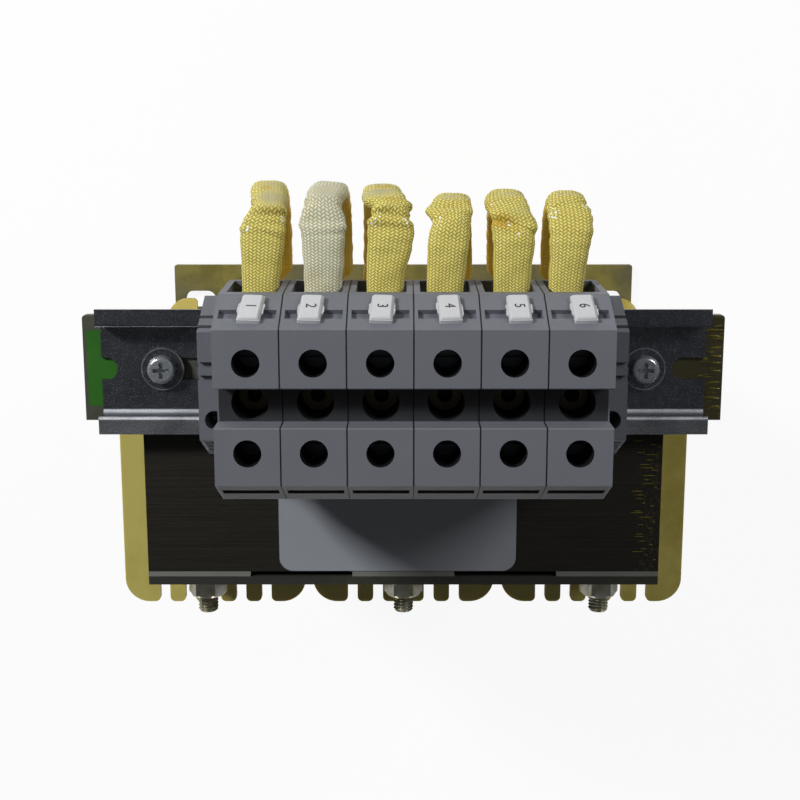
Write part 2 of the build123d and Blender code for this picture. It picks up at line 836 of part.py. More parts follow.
make_core_e_stack()
make_core_i_yoke()
make_gap_pads()
make_angle("foot_angle_rear", 1, 0.0, 1, bolt_levels[0], foot_slots)
make_angle("foot_angle_front", -1, 0.0, 1, bolt_levels[0], foot_slots)
make_angle("rail_bracket", 1, core_top, -1, bolt_levels[1], rail_screw_holes)
make_clamp_bar()
make_packing_strips()
make_core_bolts()
make_core_nuts()
make_core_washers()
make_spring_washers()
make_bobbins()
make_windings()
make_din_rail()
make_rail_screws()
make_rail_washers()
make_terminal_bodies()
make_current_bars()
make_wire_clamps()
make_clamp_screws()
make_marker_tags()
for stop_name, stop_x in zip(("end_stop_left", "end_stop_right"), stop_places()):
    make_end_stop(stop_name, stop_x)
make_end_stop_screws()
make_lead_sleeves()
make_wire_ends()
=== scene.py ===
import logging
import math
from dataclasses import dataclass
from enum import Enum
from typing import Mapping, Optional, Sequence, Union

import bmesh
import bpy
import numpy as np
from mathutils import Matrix, Vector


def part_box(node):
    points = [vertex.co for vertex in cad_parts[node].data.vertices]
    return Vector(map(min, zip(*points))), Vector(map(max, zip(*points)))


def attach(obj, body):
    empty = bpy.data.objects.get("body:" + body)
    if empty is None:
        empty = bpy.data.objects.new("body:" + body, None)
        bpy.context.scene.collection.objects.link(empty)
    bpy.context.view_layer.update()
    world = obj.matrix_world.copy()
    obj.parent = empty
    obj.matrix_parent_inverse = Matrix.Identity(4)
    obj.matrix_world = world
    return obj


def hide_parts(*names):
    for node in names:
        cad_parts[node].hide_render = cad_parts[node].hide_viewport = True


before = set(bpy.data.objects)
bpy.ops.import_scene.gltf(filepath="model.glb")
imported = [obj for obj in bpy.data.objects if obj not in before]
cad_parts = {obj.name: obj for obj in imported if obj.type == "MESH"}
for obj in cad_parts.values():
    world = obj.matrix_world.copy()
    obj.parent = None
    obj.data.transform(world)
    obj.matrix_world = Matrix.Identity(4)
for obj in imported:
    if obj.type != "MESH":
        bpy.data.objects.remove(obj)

# Looks of a three-phase motor reactor: a laminated core with three coils on slotted feet, and a rail
# of screw terminals on top that is fed by looped sleeved leads. Sizes are in millimetres, and they
# turn into metres where a mesh is made.

LOG = logging.getLogger("reactor")
MM = 0.001
ROOT = "root"
BRAID_MAP = "braid"
BEVEL_ANGLE = 35.0
TERMINALS = 6
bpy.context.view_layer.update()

Colour = tuple[float, float, float]
Number = Union[float, "Value"]


class Slot(Enum):
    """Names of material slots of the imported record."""

    ANGLE_STEEL = "angle_steel"
    BOLT_STEEL = "bolt_steel"
    SLEEVE = "sleeve_fibreglass"
    TAG_WHITE = "tag_white"


class SleeveTint(Enum):
    """How deeply the varnish coloured a lead's sleeve."""

    YELLOW = "yellow"
    CREAM = "cream"


def screen(red: float, green: float, blue: float) -> Colour:
    """Turns a screen colour, in steps of 255, into a linear one.

    Args:
        red: Red step, 0 to 255.
        green: Green step, 0 to 255.
        blue: Blue step, 0 to 255.

    Returns:
        The linear colour.
    """
    return tuple(
        step / 255 / 12.92 if step / 255 <= 0.04045 else ((step / 255 + 0.055) / 1.055) ** 2.4
        for step in (red, green, blue)
    )


@dataclass(frozen=True)
class Box:
    """A box along the axes, in millimetres."""

    low: Vector
    high: Vector

    @property
    def middle(self) -> Vector:
        """Its middle."""
        return (self.low + self.high) / 2

    @property
    def far_middle(self) -> Vector:
        """The middle of its far face."""
        return Vector((self.middle.x, self.high.y, self.middle.z))


def node_box(node: str) -> Box:
    """The box round a node of the frame."""
    low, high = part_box(node)
    return Box(low / MM, high / MM)


def island_boxes(node: str) -> list[Box]:
    """Boxes round the separate solids of a node.

    Args:
        node: The node's name.

    Returns:
        The boxes, from low to high and from left to right.
    """
    work = bmesh.new()
    work.from_mesh(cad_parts[node].data)
    bmesh.ops.remove_doubles(work, verts=work.verts, dist=0.001 * MM)
    seen: set[int] = set()
    boxes = []
    work.verts.ensure_lookup_table()
    for first in work.verts:
        if first.index in seen:
            continue
        island = []
        stack = [first]
        seen.add(first.index)
        while stack:
            point = stack.pop()
            island.append(point.co / MM)
            for edge in point.link_edges:
                other = edge.other_vert(point)
                if other.index not in seen:
                    seen.add(other.index)
                    stack.append(other)
        low, high = (Vector([pick(p[axis] for p in island) for axis in range(3)]) for pick in (min, max))
        boxes.append(Box(low, high))
    work.free()
    return sorted(boxes, key=lambda box: (round(box.low.z), box.low.x))


class Value:
    """A number that varies over a surface. Python's operators on it add Math nodes."""

    def __init__(self, tree: "ShaderTree", socket: bpy.types.NodeSocket) -> None:
        """Wraps a socket of a tree."""
        self.tree = tree
        self.socket = socket

    def _math(self, operation: str, *operands: Number) -> "Value":
        """Adds one Math node with its inputs in order, and gives its result."""
        made = self.tree.node("ShaderNodeMath", {"operation": operation}, dict(enumerate(operands)))
        return Value(self.tree, made.outputs[0])

    def __add__(self, other: Number) -> "Value":
        """Sum."""
        return self._math("ADD", self, other)

    __radd__ = __add__

    def __sub__(self, other: Number) -> "Value":
        """Difference."""
        return self._math("SUBTRACT", self, other)

    def __rsub__(self, other: Number) -> "Value":
        """Reflected difference."""
        return self._math("SUBTRACT", other, self)

    def __mul__(self, other: Number) -> "Value":
        """Product."""
        return self._math("MULTIPLY", self, other)

    __rmul__ = __mul__

    def __truediv__(self, other: Number) -> "Value":
        """Quotient."""
        return self._math("DIVIDE", self, other)

    def __rtruediv__(self, other: Number) -> "Value":
        """Reflected quotient."""
        return self._math("DIVIDE", other, self)

    def __mod__(self, other: Number) -> "Value":
        """Remainder that is never negative."""
        return self._math("FLOORED_MODULO", self, other)

    def __rmod__(self, other: Number) -> "Value":
        """Reflected remainder."""
        return self._math("FLOORED_MODULO", other, self)

    def __abs__(self) -> "Value":
        """Size without sign."""
        return self._math("ABSOLUTE", self)

    def floor(self) -> "Value":
        """The whole number below."""
        return self._math("FLOOR", self)

    def fraction(self) -> "Value":
        """What the whole number below leaves."""
        return self._math("FRACT", self)

    def sine(self) -> "Value":
        """Sine of an angle in radians."""
        return self._math("SINE", self)

    def below(self, limit: Number) -> "Value":
        """One where the value is under the limit, and zero elsewhere."""
        return self._math("LESS_THAN", self, limit)

    def above(self, limit: Number) -> "Value":
        """One where the value is over the limit, and zero elsewhere."""
        return self._math("GREATER_THAN", self, limit)

    def rise(self, start: float, stop: float) -> "Value":
        """A soft step.

        Args:
            start: Where it begins to leave 0.
            stop: Where it reaches 1. It may be less than start, for a fall.

        Returns:
            The step, from 0 to 1.
        """
        made = self.tree.node(
            "ShaderNodeMapRange",
            {"interpolation_type": "SMOOTHSTEP"},
            {"Value": self, "From Min": start, "From Max": stop},
        )
        return Value(self.tree, made.outputs[0])


class ShaderTree:
    """A material under construction, with one principled shader."""

    def __init__(self, name: str) -> None:
        """Makes the material and its shader.

        Args:
            name: The material's name.
        """
        self.material = bpy.data.materials.new(name)
        self.material.use_nodes = True
        self.nodes = self.material.node_tree.nodes
        self.links = self.material.node_tree.links
        self.nodes.clear()
        self.output = self.node("ShaderNodeOutputMaterial")
        self.shader = self.node("ShaderNodeBsdfPrincipled")
        self.links.new(self.shader.outputs[0], self.output.inputs["Surface"])
        scaled = {0: self.node("ShaderNodeTexCoord").outputs["Object"], "Scale": 1 / MM}
        self.place = self.node("ShaderNodeVectorMath", {"operation": "SCALE"}, scaled).outputs[0]

    def node(
        self,
        kind: str,
        settings: Optional[Mapping[str, object]] = None,
        inputs: Optional[Mapping[Union[int, str], object]] = None,
    ) -> bpy.types.Node:
        """Adds a node.

        Args:
            kind: Its type.
            settings: Its properties. The key stops sets a ramp's stops.
            inputs: Values or links of its sockets, by name or place.

        Returns:
            The node.
        """
        made = self.nodes.new(kind)
        for key, setting in (settings or {}).items():
            if key == "stops":
                self._set_stops(made.color_ramp, setting)
            else:
                setattr(made, key, setting)
        for key, given in (inputs or {}).items():
            self._give(made.inputs[key], given)
        return made

    def _give(self, socket: bpy.types.NodeSocket, given: object) -> None:
        """Links a socket, or sets its own value.

        Args:
            socket: The socket.
            given: A value or a socket to link, or a colour or number to set.
        """
        if isinstance(given, Value):
            given = given.socket
        if isinstance(given, bpy.types.NodeSocket):
            self.links.new(given, socket)
        elif socket.type == "RGBA":
            socket.default_value = (*given, 1.0)
        else:
            socket.default_value = given

    @staticmethod
    def _set_stops(ramp: bpy.types.ColorRamp, stops: Sequence[tuple[float, Colour]]) -> None:
        """Writes a ramp's stops.

        Args:
            ramp: The ramp.
            stops: Each stop's place and colour, in rising order.
        """
        while len(ramp.elements) < len(stops):
            ramp.elements.new(1.0)
        for element, (position, colour) in zip(ramp.elements, stops):
            element.position = position
            element.color = (*colour, 1.0)

    def axes(self) -> tuple[Value, Value, Value]:
        """The place on the surface, in millimetres, as three values."""
        split = self.node("ShaderNodeSeparateXYZ", None, {0: self.place})
        return tuple(Value(self, out) for out in split.outputs)

    def stretched(self, x: float, y: float, z: float) -> bpy.types.NodeSocket:
        """The place on the surface with each axis scaled by its own factor."""
        inputs = {0: self.place, 1: (x, y, z)}
        return self.node("ShaderNodeVectorMath", {"operation": "MULTIPLY"}, inputs).outputs[0]

    def noise(
        self,
        scale: float,
        detail: float = 3.0,
        roughness: float = 0.5,
        where: Optional[bpy.types.NodeSocket] = None,
    ) -> Value:
        """Soft noise from 0 to 1.

        Args:
            scale: Cells per millimetre.
            detail: Octaves of finer noise.
            roughness: Strength of the finer noise.
            where: The place to read, if not the plain one.

        Returns:
            The noise.
        """
        made = self.node(
            "ShaderNodeTexNoise",
            None,
            {"Vector": where or self.place, "Scale": scale, "Detail": detail, "Roughness": roughness},
        )
        return Value(self, made.outputs["Fac"])

    def cells(self, scale: float, output: str = "Distance") -> Value:
        """Voronoi cells: the distance from a cell's middle, or with Color one grey for each cell."""
        made = self.node("ShaderNodeTexVoronoi", None, {"Vector": self.place, "Scale": scale})
        return Value(self, made.outputs[output])

    def mix(self, share: Number, first: object, second: object) -> bpy.types.NodeSocket:
        """Blends two colours, or sockets of colours, by the second one's share from 0 to 1."""
        settings = {"data_type": "RGBA", "clamp_factor": True}
        return self.node("ShaderNodeMix", settings, {0: share, 6: first, 7: second}).outputs[2]

    def ramp(self, value: Value, stops: Sequence[tuple[float, Colour]]) -> bpy.types.NodeSocket:
        """Colours a value by a ramp."""
        return self.node("ShaderNodeValToRGB", {"stops": stops}, {0: value}).outputs[0]

    def attribute(self, name: str) -> Value:
        """A value that the mesh stores at its points."""
        return Value(self, self.node("ShaderNodeAttribute", {"attribute_name": name}).outputs["Fac"])

    def bump(self, height: Value, depth: float, strength: float = 1.0) -> bpy.types.NodeSocket:
        """A normal that follows a height from 0 to 1, where 1 stands for a depth in millimetres."""
        inputs = {"Height": height, "Distance": depth * MM, "Strength": strength}
        return self.node("ShaderNodeBump", None, inputs).outputs[0]

    def surface(self, **inputs: object) -> bpy.types.Material:
        """Sets the shader's inputs.

        Args:
            inputs: Values or links, by the socket's name with underscores for spaces.

        Returns:
            The finished material.
        """
        for key, given in inputs.items():
            self._give(self.shader.inputs[key.replace("_", " ")], given)
        return self.material


@dataclass(frozen=True)
class LaminationFinish:
    """Edges of stacked electrical sheets under dark varnish."""

    sheet: float = 0.5
    dark: Colour = screen(14, 13, 9)
    light: Colour = screen(44, 41, 30)
    dust: Colour = screen(120, 116, 104)
    varnish: Colour = screen(84, 72, 30)
    # The colour of small painted glints near the right end.
    glint: Colour = screen(150, 140, 96)
    run_reach: tuple[float, float] = (10.0, 1.5)
    glint_reach: tuple[float, float] = (8.0, 4.0)

    def material(self) -> bpy.types.Material:
        """Builds the material.

        Returns:
            Lines along the core, one for each sheet, with varnish runs and small painted glints near the
            right end.
        """
        tree = ShaderTree("varnished_laminations")
        x, y, _ = tree.axes()
        end = node_box("core_i_yoke").high.x
        reaches = (self.run_reach, self.glint_reach)
        run_end, glint_end = (x.rise(end - far, end - near) for far, near in reaches)
        sheets = y / self.sheet
        own_place = tree.node("ShaderNodeCombineXYZ", None, {1: sheets.floor() * self.sheet}).outputs[0]
        tone = tree.noise(1.9, 0.0, 0.5, own_place)
        streak = tree.noise(1.0, 3.0, 0.6, tree.stretched(0.05, 2.4, 0.05))
        gap = (abs(sheets.fraction() - 0.5) * 2).rise(0.55, 1.0)
        level = tone * 0.5 + streak * 0.55 - gap * 0.3 - 0.1
        base = tree.ramp(level, [(0.1, self.dark), (0.85, self.light)])
        speck = tree.cells(0.5).below(0.045) * tree.noise(0.35, 1.0).above(0.55)
        base = tree.mix(speck * 0.35, base, self.dust)
        run = tree.noise(1.0, 3.0, 0.7, tree.stretched(1.3, 0.7, 0.3)).rise(0.52, 0.64)
        base = tree.mix(run * run_end * 0.45, base, self.varnish)
        # Small painted glints near the right end of the core.
        glint = tree.cells(0.9).below(0.09) * glint_end
        base = tree.mix(glint * 0.8, base, self.glint)
        height = (1 - gap) * 0.7 + streak * 0.5
        return tree.surface(
            Base_Color=base,
            Roughness=streak * 0.3 + 0.38,
            Metallic=0.1,
            Specular_IOR_Level=0.35,
            Coat_Weight=0.08,
            Coat_Roughness=0.3,
            Normal=tree.bump(height, 0.04),
        )


@dataclass(frozen=True)
class StainedSteelFinish:
    """Galvanised steel that the impregnating varnish ran over."""

    name: str
    metal: Colour = screen(112, 113, 102)
    stain: Colour = screen(136, 127, 58)
    deep: Colour = screen(96, 88, 30)
    shade: Colour = screen(66, 68, 64)
    streak: Colour = screen(138, 130, 38)
    cover: float = 0.5
    lean: float = 0.0
    streaks: float = 0.0
    streak_reach: tuple[float, float] = (14.0, 6.0)

    def material(self) -> bpy.types.Material:
        """Builds the material.

        Returns:
            Grey spangled metal with yellow varnish patches, more of them towards one end if they lean.
        """
        tree = ShaderTree(self.name)
        x, _, _ = tree.axes()
        end = node_box("rail_bracket").high.x
        patches = tree.noise(0.03, 4.0, 0.55) + tree.noise(0.4, 3.0) * 0.1 + x * (self.lean / end)
        wet = patches.rise(0.78 - self.cover, 1.12 - self.cover * 0.62)
        spangle = tree.cells(0.45, "Color")
        grain = tree.noise(3.5, 3.0, 0.65)
        metal = tree.mix(spangle * 0.25 + grain * 0.25, self.metal, self.shade)
        depth = tree.noise(0.11, 3.0, 0.55).rise(0.42, 0.68)
        varnish = tree.mix(depth * 0.6, self.stain, self.deep)
        base = tree.mix(wet * 0.9, metal, varnish)
        if self.streaks:
            line = tree.noise(1.0, 3.0, 0.7, tree.stretched(0.16, 1.1, 0.4)).rise(0.56, 0.66)
            far, near = self.streak_reach
            base = tree.mix(line * x.rise(end - far, end - near) * self.streaks, base, self.streak)
        return tree.surface(
            Base_Color=base,
            Roughness=grain * 0.25 + 0.36 - wet * 0.12,
            Metallic=0.6 - wet * 0.45,
            Coat_Weight=wet * 0.4,
            Coat_Roughness=0.14,
            Normal=tree.bump(grain * 0.5 + depth * wet + spangle * 0.1, 0.09),
        )


@dataclass(frozen=True)
class ZincFinish:
    """Bright zinc on rolled sheet and turned screws.

    The painted highlights on the bends and the lip are placed by how far they lie from the rail's near
    edge, and how far the brightness starts from its foot or its top.
    """

    name: str
    light: Colour = screen(190, 196, 206)
    dark: Colour = screen(72, 75, 82)
    # The colour of the painted highlights on the bends, the lip and the washers' rims.
    bright: Colour = screen(232, 236, 242)
    roughness: float = 0.28
    speckle: float = 1.0
    metallic: float = 0.95
    bends: float = 0.0
    low_bend: tuple[float, float] = (5.45, 2.5)
    high_bend: tuple[float, float] = (4.6, 0.8)
    lip: tuple[float, float] = (5.0, 1.0)
    rim: float = 0.0
    rim_radii: tuple[float, float] = (5.5, 5.9)

    def material(self) -> bpy.types.Material:
        """Builds the material.

        Returns:
            Metal with fine bright speckles, faint scratches along the rail and painted highlights on its
            bends and the washers' rims.
        """
        tree = ShaderTree(self.name)
        grain = tree.noise(2.6, 3.0, 0.7)
        cloud = tree.noise(0.12, 3.0, 0.6)
        scratch = tree.noise(1.0, 2.0, 0.5, tree.stretched(0.12, 3.0, 3.0))
        spark = grain.rise(0.54, 0.66) * tree.noise(0.5, 2.0).rise(0.3, 0.6) * self.speckle
        base = tree.mix(spark * 0.7 + cloud * 0.2 + scratch * 0.1, self.dark, self.light)
        # Painted highlights brighten the rail's near bends and lip and the washers' rims.
        polish = self.polish(tree, grain, cloud)
        return tree.surface(
            Base_Color=tree.mix(polish, base, self.bright),
            Roughness=grain * 0.22 + scratch * 0.08 + self.roughness - 0.1,
            Metallic=self.metallic - polish * 0.5,
            Normal=tree.bump(grain * 0.7 + scratch * 0.3, 0.035),
        )

    def polish(self, tree: ShaderTree, grain: Value, cloud: Value) -> Value:
        """Where painted highlights brighten the rail's near bends and lip and the rims of its washers.

        Args:
            tree: The material's tree.
            grain: Its fine noise.
            cloud: Its coarse noise.

        Returns:
            How strong the painted highlight is at each place, from 0.
        """
        x, y, z = tree.axes()
        rail = node_box("din_rail")
        inward = y - rail.low.y
        (low_in, up), (high_in, down), (lip_in, under) = self.low_bend, self.high_bend, self.lip
        low = abs(inward - low_in).rise(0.6, 0.35) * z.rise(rail.low.z + up, rail.low.z + up - 0.5)
        high = abs(inward - high_in).rise(0.6, 0.35) * z.rise(rail.high.z - down, rail.high.z - down + 0.4)
        lip = inward.rise(lip_in, lip_in - 1.0) * z.above(rail.high.z - under) * (grain * 0.5 + 0.05)
        folded = (low + high + lip) * (cloud * 0.6 + grain * 0.5) * self.bends
        aside, off = abs(x) - self.rim, y - rail.middle.y
        inner, outer = self.rim_radii
        edge = (aside * aside + off * off).rise(inner**2, outer**2) * float(self.rim > 0)
        return folded + edge * (cloud * 0.7)


@dataclass(frozen=True)
class BoltFinish:
    """Zinc-plated hardware with a film of varnish."""

    name: str = "varnished_hardware"
    metal: Colour = screen(222, 222, 212)
    film: Colour = screen(176, 168, 112)
    shade: Colour = screen(184, 183, 172)

    def material(self) -> bpy.types.Material:
        """Builds the material.

        Returns:
            Satin metal with an uneven yellow film.
        """
        tree = ShaderTree(self.name)
        film = tree.noise(0.22, 2.0, 0.5).rise(0.4, 0.7)
        grain = tree.noise(5.0, 2.0, 0.5)
        base = tree.mix(film * 0.75, tree.mix(grain * 0.6, self.metal, self.shade), self.film)
        return tree.surface(
            Base_Color=base,
            Roughness=grain * 0.12 + 0.28,
            Metallic=0.62 - film * 0.2,
            Coat_Weight=film * 0.5,
            Coat_Roughness=0.15,
            Normal=tree.bump(grain, 0.008),
        )


@dataclass(frozen=True)
class MouldedGreyFinish:
    """Grey moulded housings of the terminals and end stops.

    The painted shade is placed by how far each place lies from the row's middle line, its top or its near
    side.
    """

    colour: Colour = screen(105, 108, 115)
    shade: Colour = screen(95, 97, 104)
    # The colour of the painted shade in the row's shafts, seams, dip and near slope.
    hollow: Colour = screen(17, 17, 19)
    end_gap: float = 0.35
    shaft_offset: float = 11.0
    shaft_radius: float = 3.5
    shaft_depth: float = 0.15
    seam_half: float = 0.2
    dip_half: float = 4.65
    dip_depth: float = 7.2
    slope_reach: float = 8.3
    slope_depth: float = 13.3

    def material(self) -> bpy.types.Material:
        """Builds the material.

        Returns:
            Satin plastic with an eroded grain, faint rubbed lines and painted shade in its hollows.
        """
        tree = ShaderTree("moulded_grey")
        grain = tree.noise(4.5, 2.0, 0.6)
        cloud = tree.noise(0.09, 3.0, 0.6)
        rub = tree.noise(1.0, 3.0, 0.65, tree.stretched(0.1, 1.6, 1.6)).rise(0.55, 0.75)
        base = tree.mix(cloud * 0.55 + grain * 0.3 - rub * 0.25, self.colour, self.shade)
        # Painted shade darkens the shafts, seams, dip and near slope.
        base = tree.mix(self.soiled(tree), base, self.hollow)
        return tree.surface(
            Base_Color=base,
            Roughness=grain * 0.16 + 0.42 - rub * 0.06,
            Specular_IOR_Level=0.4,
            Normal=tree.bump(grain * 0.25 + rub * 0.2, 0.04),
        )

    def soiled(self, tree: ShaderTree) -> Value:
        """Where painted shade darkens the row's shafts, seams, dip and near slope; in the shafts and seams it
        stands for dust and varnish as well.

        Args:
            tree: The material's tree.

        Returns:
            How dark the painted shade makes each place, 0 to 1.
        """
        first, last = node_box("terminal_body_1"), node_box(f"terminal_body_{TERMINALS}")
        row = Box(first.low, last.high)
        pitch = (last.middle.x - first.middle.x) / (TERMINALS - 1)
        x, y, z = tree.axes()
        aside, off = x - row.middle.x, abs(y - row.middle.y)
        across = abs(aside % pitch - pitch / 2)
        along = off - self.shaft_offset
        shaft = (across * across + along * along).below(self.shaft_radius**2)
        shaft = shaft * z.below(row.high.z - self.shaft_depth)
        seam = across.above(pitch / 2 - self.seam_half) * 0.9
        dip = off.below(self.dip_half) * z.below(row.high.z - self.dip_depth) * 0.85
        far, low = row.low.y + self.slope_reach, row.high.z - self.slope_depth
        slope = y.rise(far, far - 0.3) * z.rise(low, low + 0.4) * 0.68
        return (shaft + seam + dip + slope) * abs(aside).below(row.high.x - row.middle.x - self.end_gap)


@dataclass(frozen=True)
class BobbinFinish:
    """Natural moulded plastic, pale yellow under varnish, that lets some light through."""

    pale: Colour = screen(196, 184, 104)
    amber: Colour = screen(150, 134, 46)
    bloom: Colour = screen(200, 192, 140)

    def material(self) -> bpy.types.Material:
        """Builds the material.

        Returns:
            Translucent plastic with runs and drops of varnish.
        """
        tree = ShaderTree("bobbin_plastic")
        x, _, _ = tree.axes()
        cloud = tree.noise(0.05, 4.0, 0.6)
        runs = tree.noise(1.0, 3.0, 0.55, tree.stretched(0.16, 0.16, 0.05))
        grain = tree.noise(2.6, 3.0, 0.6)
        amber = (cloud * 0.6 + runs * 0.4 + x * 0.0012 - 0.05).rise(0.3, 0.85)
        base = tree.mix(amber * 0.85, self.pale, self.amber)
        base = tree.mix(grain.rise(0.6, 0.75) * 0.1, base, self.bloom)
        return tree.surface(
            Base_Color=base,
            Roughness=cloud * 0.2 + 0.22,
            Subsurface_Weight=0.3,
            Subsurface_Radius=(1.0, 0.8, 0.35),
            Subsurface_Scale=2.0 * MM,
            Coat_Weight=0.3,
            Coat_Roughness=0.12,
            Normal=tree.bump(runs * 0.7 + grain * 0.12, 0.12),
        )


@dataclass(frozen=True)
class TurnsFinish:
    """Enamelled flat copper turns under amber varnish."""

    copper: Colour = screen(166, 84, 30)
    dark: Colour = screen(84, 36, 12)
    amber: Colour = screen(196, 132, 40)

    def material(self) -> bpy.types.Material:
        """Builds the material.

        Returns:
            Glossy enamel with streaks along the turns and varnish drops.
        """
        tree = ShaderTree("varnished_turns")
        streak = tree.noise(1.0, 3.0, 0.6, tree.stretched(0.06, 0.06, 1.1))
        cloud = tree.noise(0.08, 4.0, 0.6)
        drops = tree.noise(0.22, 2.0, 0.5).rise(0.58, 0.7)
        base = tree.mix(streak * 0.6 + cloud * 0.3 - 0.1, self.copper, self.dark)
        base = tree.mix(drops * 0.55, base, self.amber)
        return tree.surface(
            Base_Color=base,
            Roughness=streak * 0.2 + 0.2,
            Metallic=0.55 - drops * 0.3,
            Coat_Weight=0.8,
            Coat_Roughness=0.1,
            Normal=tree.bump(streak * 0.5 + drops, 0.08),
        )


@dataclass(frozen=True)
class BoardFinish:
    """Varnished insulating board of the gap pads and the packing."""

    light: Colour = screen(132, 134, 130)
    dark: Colour = screen(92, 92, 82)

    def material(self) -> bpy.types.Material:
        """Builds the material.

        Returns:
            Fibrous board with darker soaked patches.
        """
        tree = ShaderTree("insulating_board")
        fibre = tree.noise(1.0, 4.0, 0.7, tree.stretched(0.5, 3.0, 3.0))
        cloud = tree.noise(0.1, 3.0)
        base = tree.mix(fibre * 0.5 + cloud * 0.4, self.light, self.dark)
        return tree.surface(Base_Color=base, Roughness=fibre * 0.3 + 0.4, Normal=tree.bump(fibre, 0.06))


@dataclass(frozen=True)
class BraidFinish:
    """Braided glass-fibre sleeve, varnished, with strain-whitened bends, painted glints and a painted glow on
    its far legs.

    Places along it are in cells of the braid, counted from the terminal's mouth.
    """

    tint: SleeveTint
    fibre: Colour
    gap: Colour
    char: Colour = screen(148, 116, 18)
    bleached: Colour = screen(156, 151, 124)
    burnt: Colour = screen(206, 170, 34)
    # The colour of the painted glints, white specks that stand for highlights on the varnish.
    fleck: Colour = (0.9, 0.9, 0.87)
    # A painted glow: emission on the far legs that stands for light shining through the fibre.
    glow: Colour = screen(200, 164, 60)
    glow_strength: float = 0.16
    glow_ends: tuple[float, float] = (44.0, 66.0)
    golden_ends: tuple[float, float] = (38.0, 70.0)
    hairs: float = 4.5

    def material(self) -> bpy.types.Material:
        """Builds the material.

        Returns:
            A herringbone braid that follows the sleeve's own coordinates.
        """
        tree = ShaderTree(f"braid_{self.tint.value}")
        unrolled = tree.node("ShaderNodeUVMap", {"uv_map": BRAID_MAP}).outputs[0]
        split = tree.node("ShaderNodeSeparateXYZ", None, {0: unrolled})
        around, along = (Value(tree, split.outputs[n]) for n in (0, 1))
        first, second = around + along, around - along
        state = (first.floor() + second.floor()) % 4.0
        over = state.below(2.0)
        under = 1 - over
        side = over * (first.fraction() - 0.5) + under * (second.fraction() - 0.5)
        run = over * (state + second.fraction()) + under * (state - 2.0 + first.fraction())
        crown = (1 - (side * side) * 3.8) * ((run * (math.pi / 2)).sine() * 0.85 + 0.15)
        rib = abs((around * math.pi).sine())
        hair = (side * (2 * math.pi * self.hairs)).sine() * 0.5 + 0.5
        bleach = tree.attribute("bleach") + (tree.noise(0.3, 3.0) - 0.5) * 0.3
        strain = bleach.rise(0.1, 1.1)
        # Painted glints: white specks where the mesh marks them.
        speck = tree.attribute("fleck").above(0.25) * tree.cells(1.05).below(0.33)
        burn = tree.attribute("burn") + (tree.noise(0.3, 3.0) - 0.5) * 0.35
        patch = tree.noise(0.16, 3.0, 0.6).rise(0.45, 0.7)
        form = crown * (1 - strain * 0.8) + (rib * 0.3 + 0.4) * strain
        # The colour follows the strands' form, darker in the gaps as painted shade and lighter on the crowns
        # as a painted highlight.
        base = tree.mix(form * 0.95 + hair * 0.1, self.gap, self.fibre)
        base = tree.mix(strain * (form * 0.25 + 0.65), base, self.bleached)
        golden = along.rise(*self.golden_ends) * 0.5 + patch * 0.12
        scorched = tree.mix(form, self.char, self.burnt)
        base = tree.mix(burn.rise(0.15, 0.85) * 0.75 + golden, base, scorched)
        gloss = tree.noise(0.5, 2.0).rise(0.5, 0.7)
        return tree.surface(
            Base_Color=tree.mix(speck * 0.9, base, self.fleck),
            Roughness=0.6 - gloss * 0.24 - speck * 0.2,
            Coat_Weight=gloss * 0.3,
            Coat_Roughness=0.2,
            # The emission is the painted glow of the far legs.
            Emission_Color=tree.mix(along.rise(*self.glow_ends), (0.0, 0.0, 0.0), self.glow),
            Emission_Strength=self.glow_strength,
            Normal=tree.bump(form + hair * 0.1, 0.2, 0.85),
        )


@dataclass(frozen=True)
class PlainFinish:
    """A small finish with grain and a little colour variation."""

    name: str
    colour: Colour
    shade: Colour
    roughness: float = 0.45
    metallic: float = 0.0
    grain: float = 3.0
    cloud: float = 0.15
    coat: float = 0.0
    depth: float = 0.03

    def material(self) -> bpy.types.Material:
        """Builds the material.

        Returns:
            The colour, broken up by grain and soft clouds.
        """
        tree = ShaderTree(self.name)
        grain = tree.noise(self.grain, 3.0, 0.6)
        cloud = tree.noise(self.cloud, 3.0, 0.6)
        base = tree.mix(grain * 0.45 + cloud * 0.45, self.colour, self.shade)
        return tree.surface(
            Base_Color=base,
            Roughness=grain * 0.16 + self.roughness - 0.08,
            Metallic=self.metallic,
            Coat_Weight=self.coat,
            Coat_Roughness=0.1,
            Normal=tree.bump(grain, self.depth),
        )


CLAMP_BAR_STEEL = StainedSteelFinish("clamp_bar_steel", screen(72, 74, 68), cover=0.22)
FOOT_STEEL = StainedSteelFinish("foot_steel", cover=0.6)
BRACKET_STEEL = StainedSteelFinish(
    "bracket_steel",
    screen(96, 97, 84),
    screen(66, 60, 30),
    screen(44, 38, 18),
    cover=0.42,
    lean=0.5,
    streaks=0.8,
)
RAIL_ZINC = ZincFinish("rail_zinc", bends=1.4)
SCREW_ZINC = ZincFinish(
    "screw_zinc", screen(248, 250, 252), screen(150, 156, 164), roughness=0.17, speckle=1.2, metallic=0.68
)
NUT_STEEL = BoltFinish()
BOLT_STEEL = BoltFinish("varnished_bolts", screen(150, 147, 124), screen(104, 96, 48))
LABEL_FILM = PlainFinish(
    "label_film", screen(150, 154, 161), screen(142, 146, 153), 0.34, cloud=0.03, depth=0.008
)
STICKER_GREEN = PlainFinish(
    "sticker_green", screen(52, 112, 32), screen(34, 84, 24), 0.36, cloud=0.4, coat=0.2
)
TAG_PLASTIC = PlainFinish("tag_plastic", screen(190, 191, 194), screen(180, 181, 184), 0.38, depth=0.012)
TAG_INK = PlainFinish("tag_ink", screen(26, 26, 28), screen(38, 38, 42), 0.5)
VARNISH = PlainFinish("varnish_beads", screen(128, 116, 26), screen(84, 74, 14), 0.16, cloud=0.6, coat=0.9)
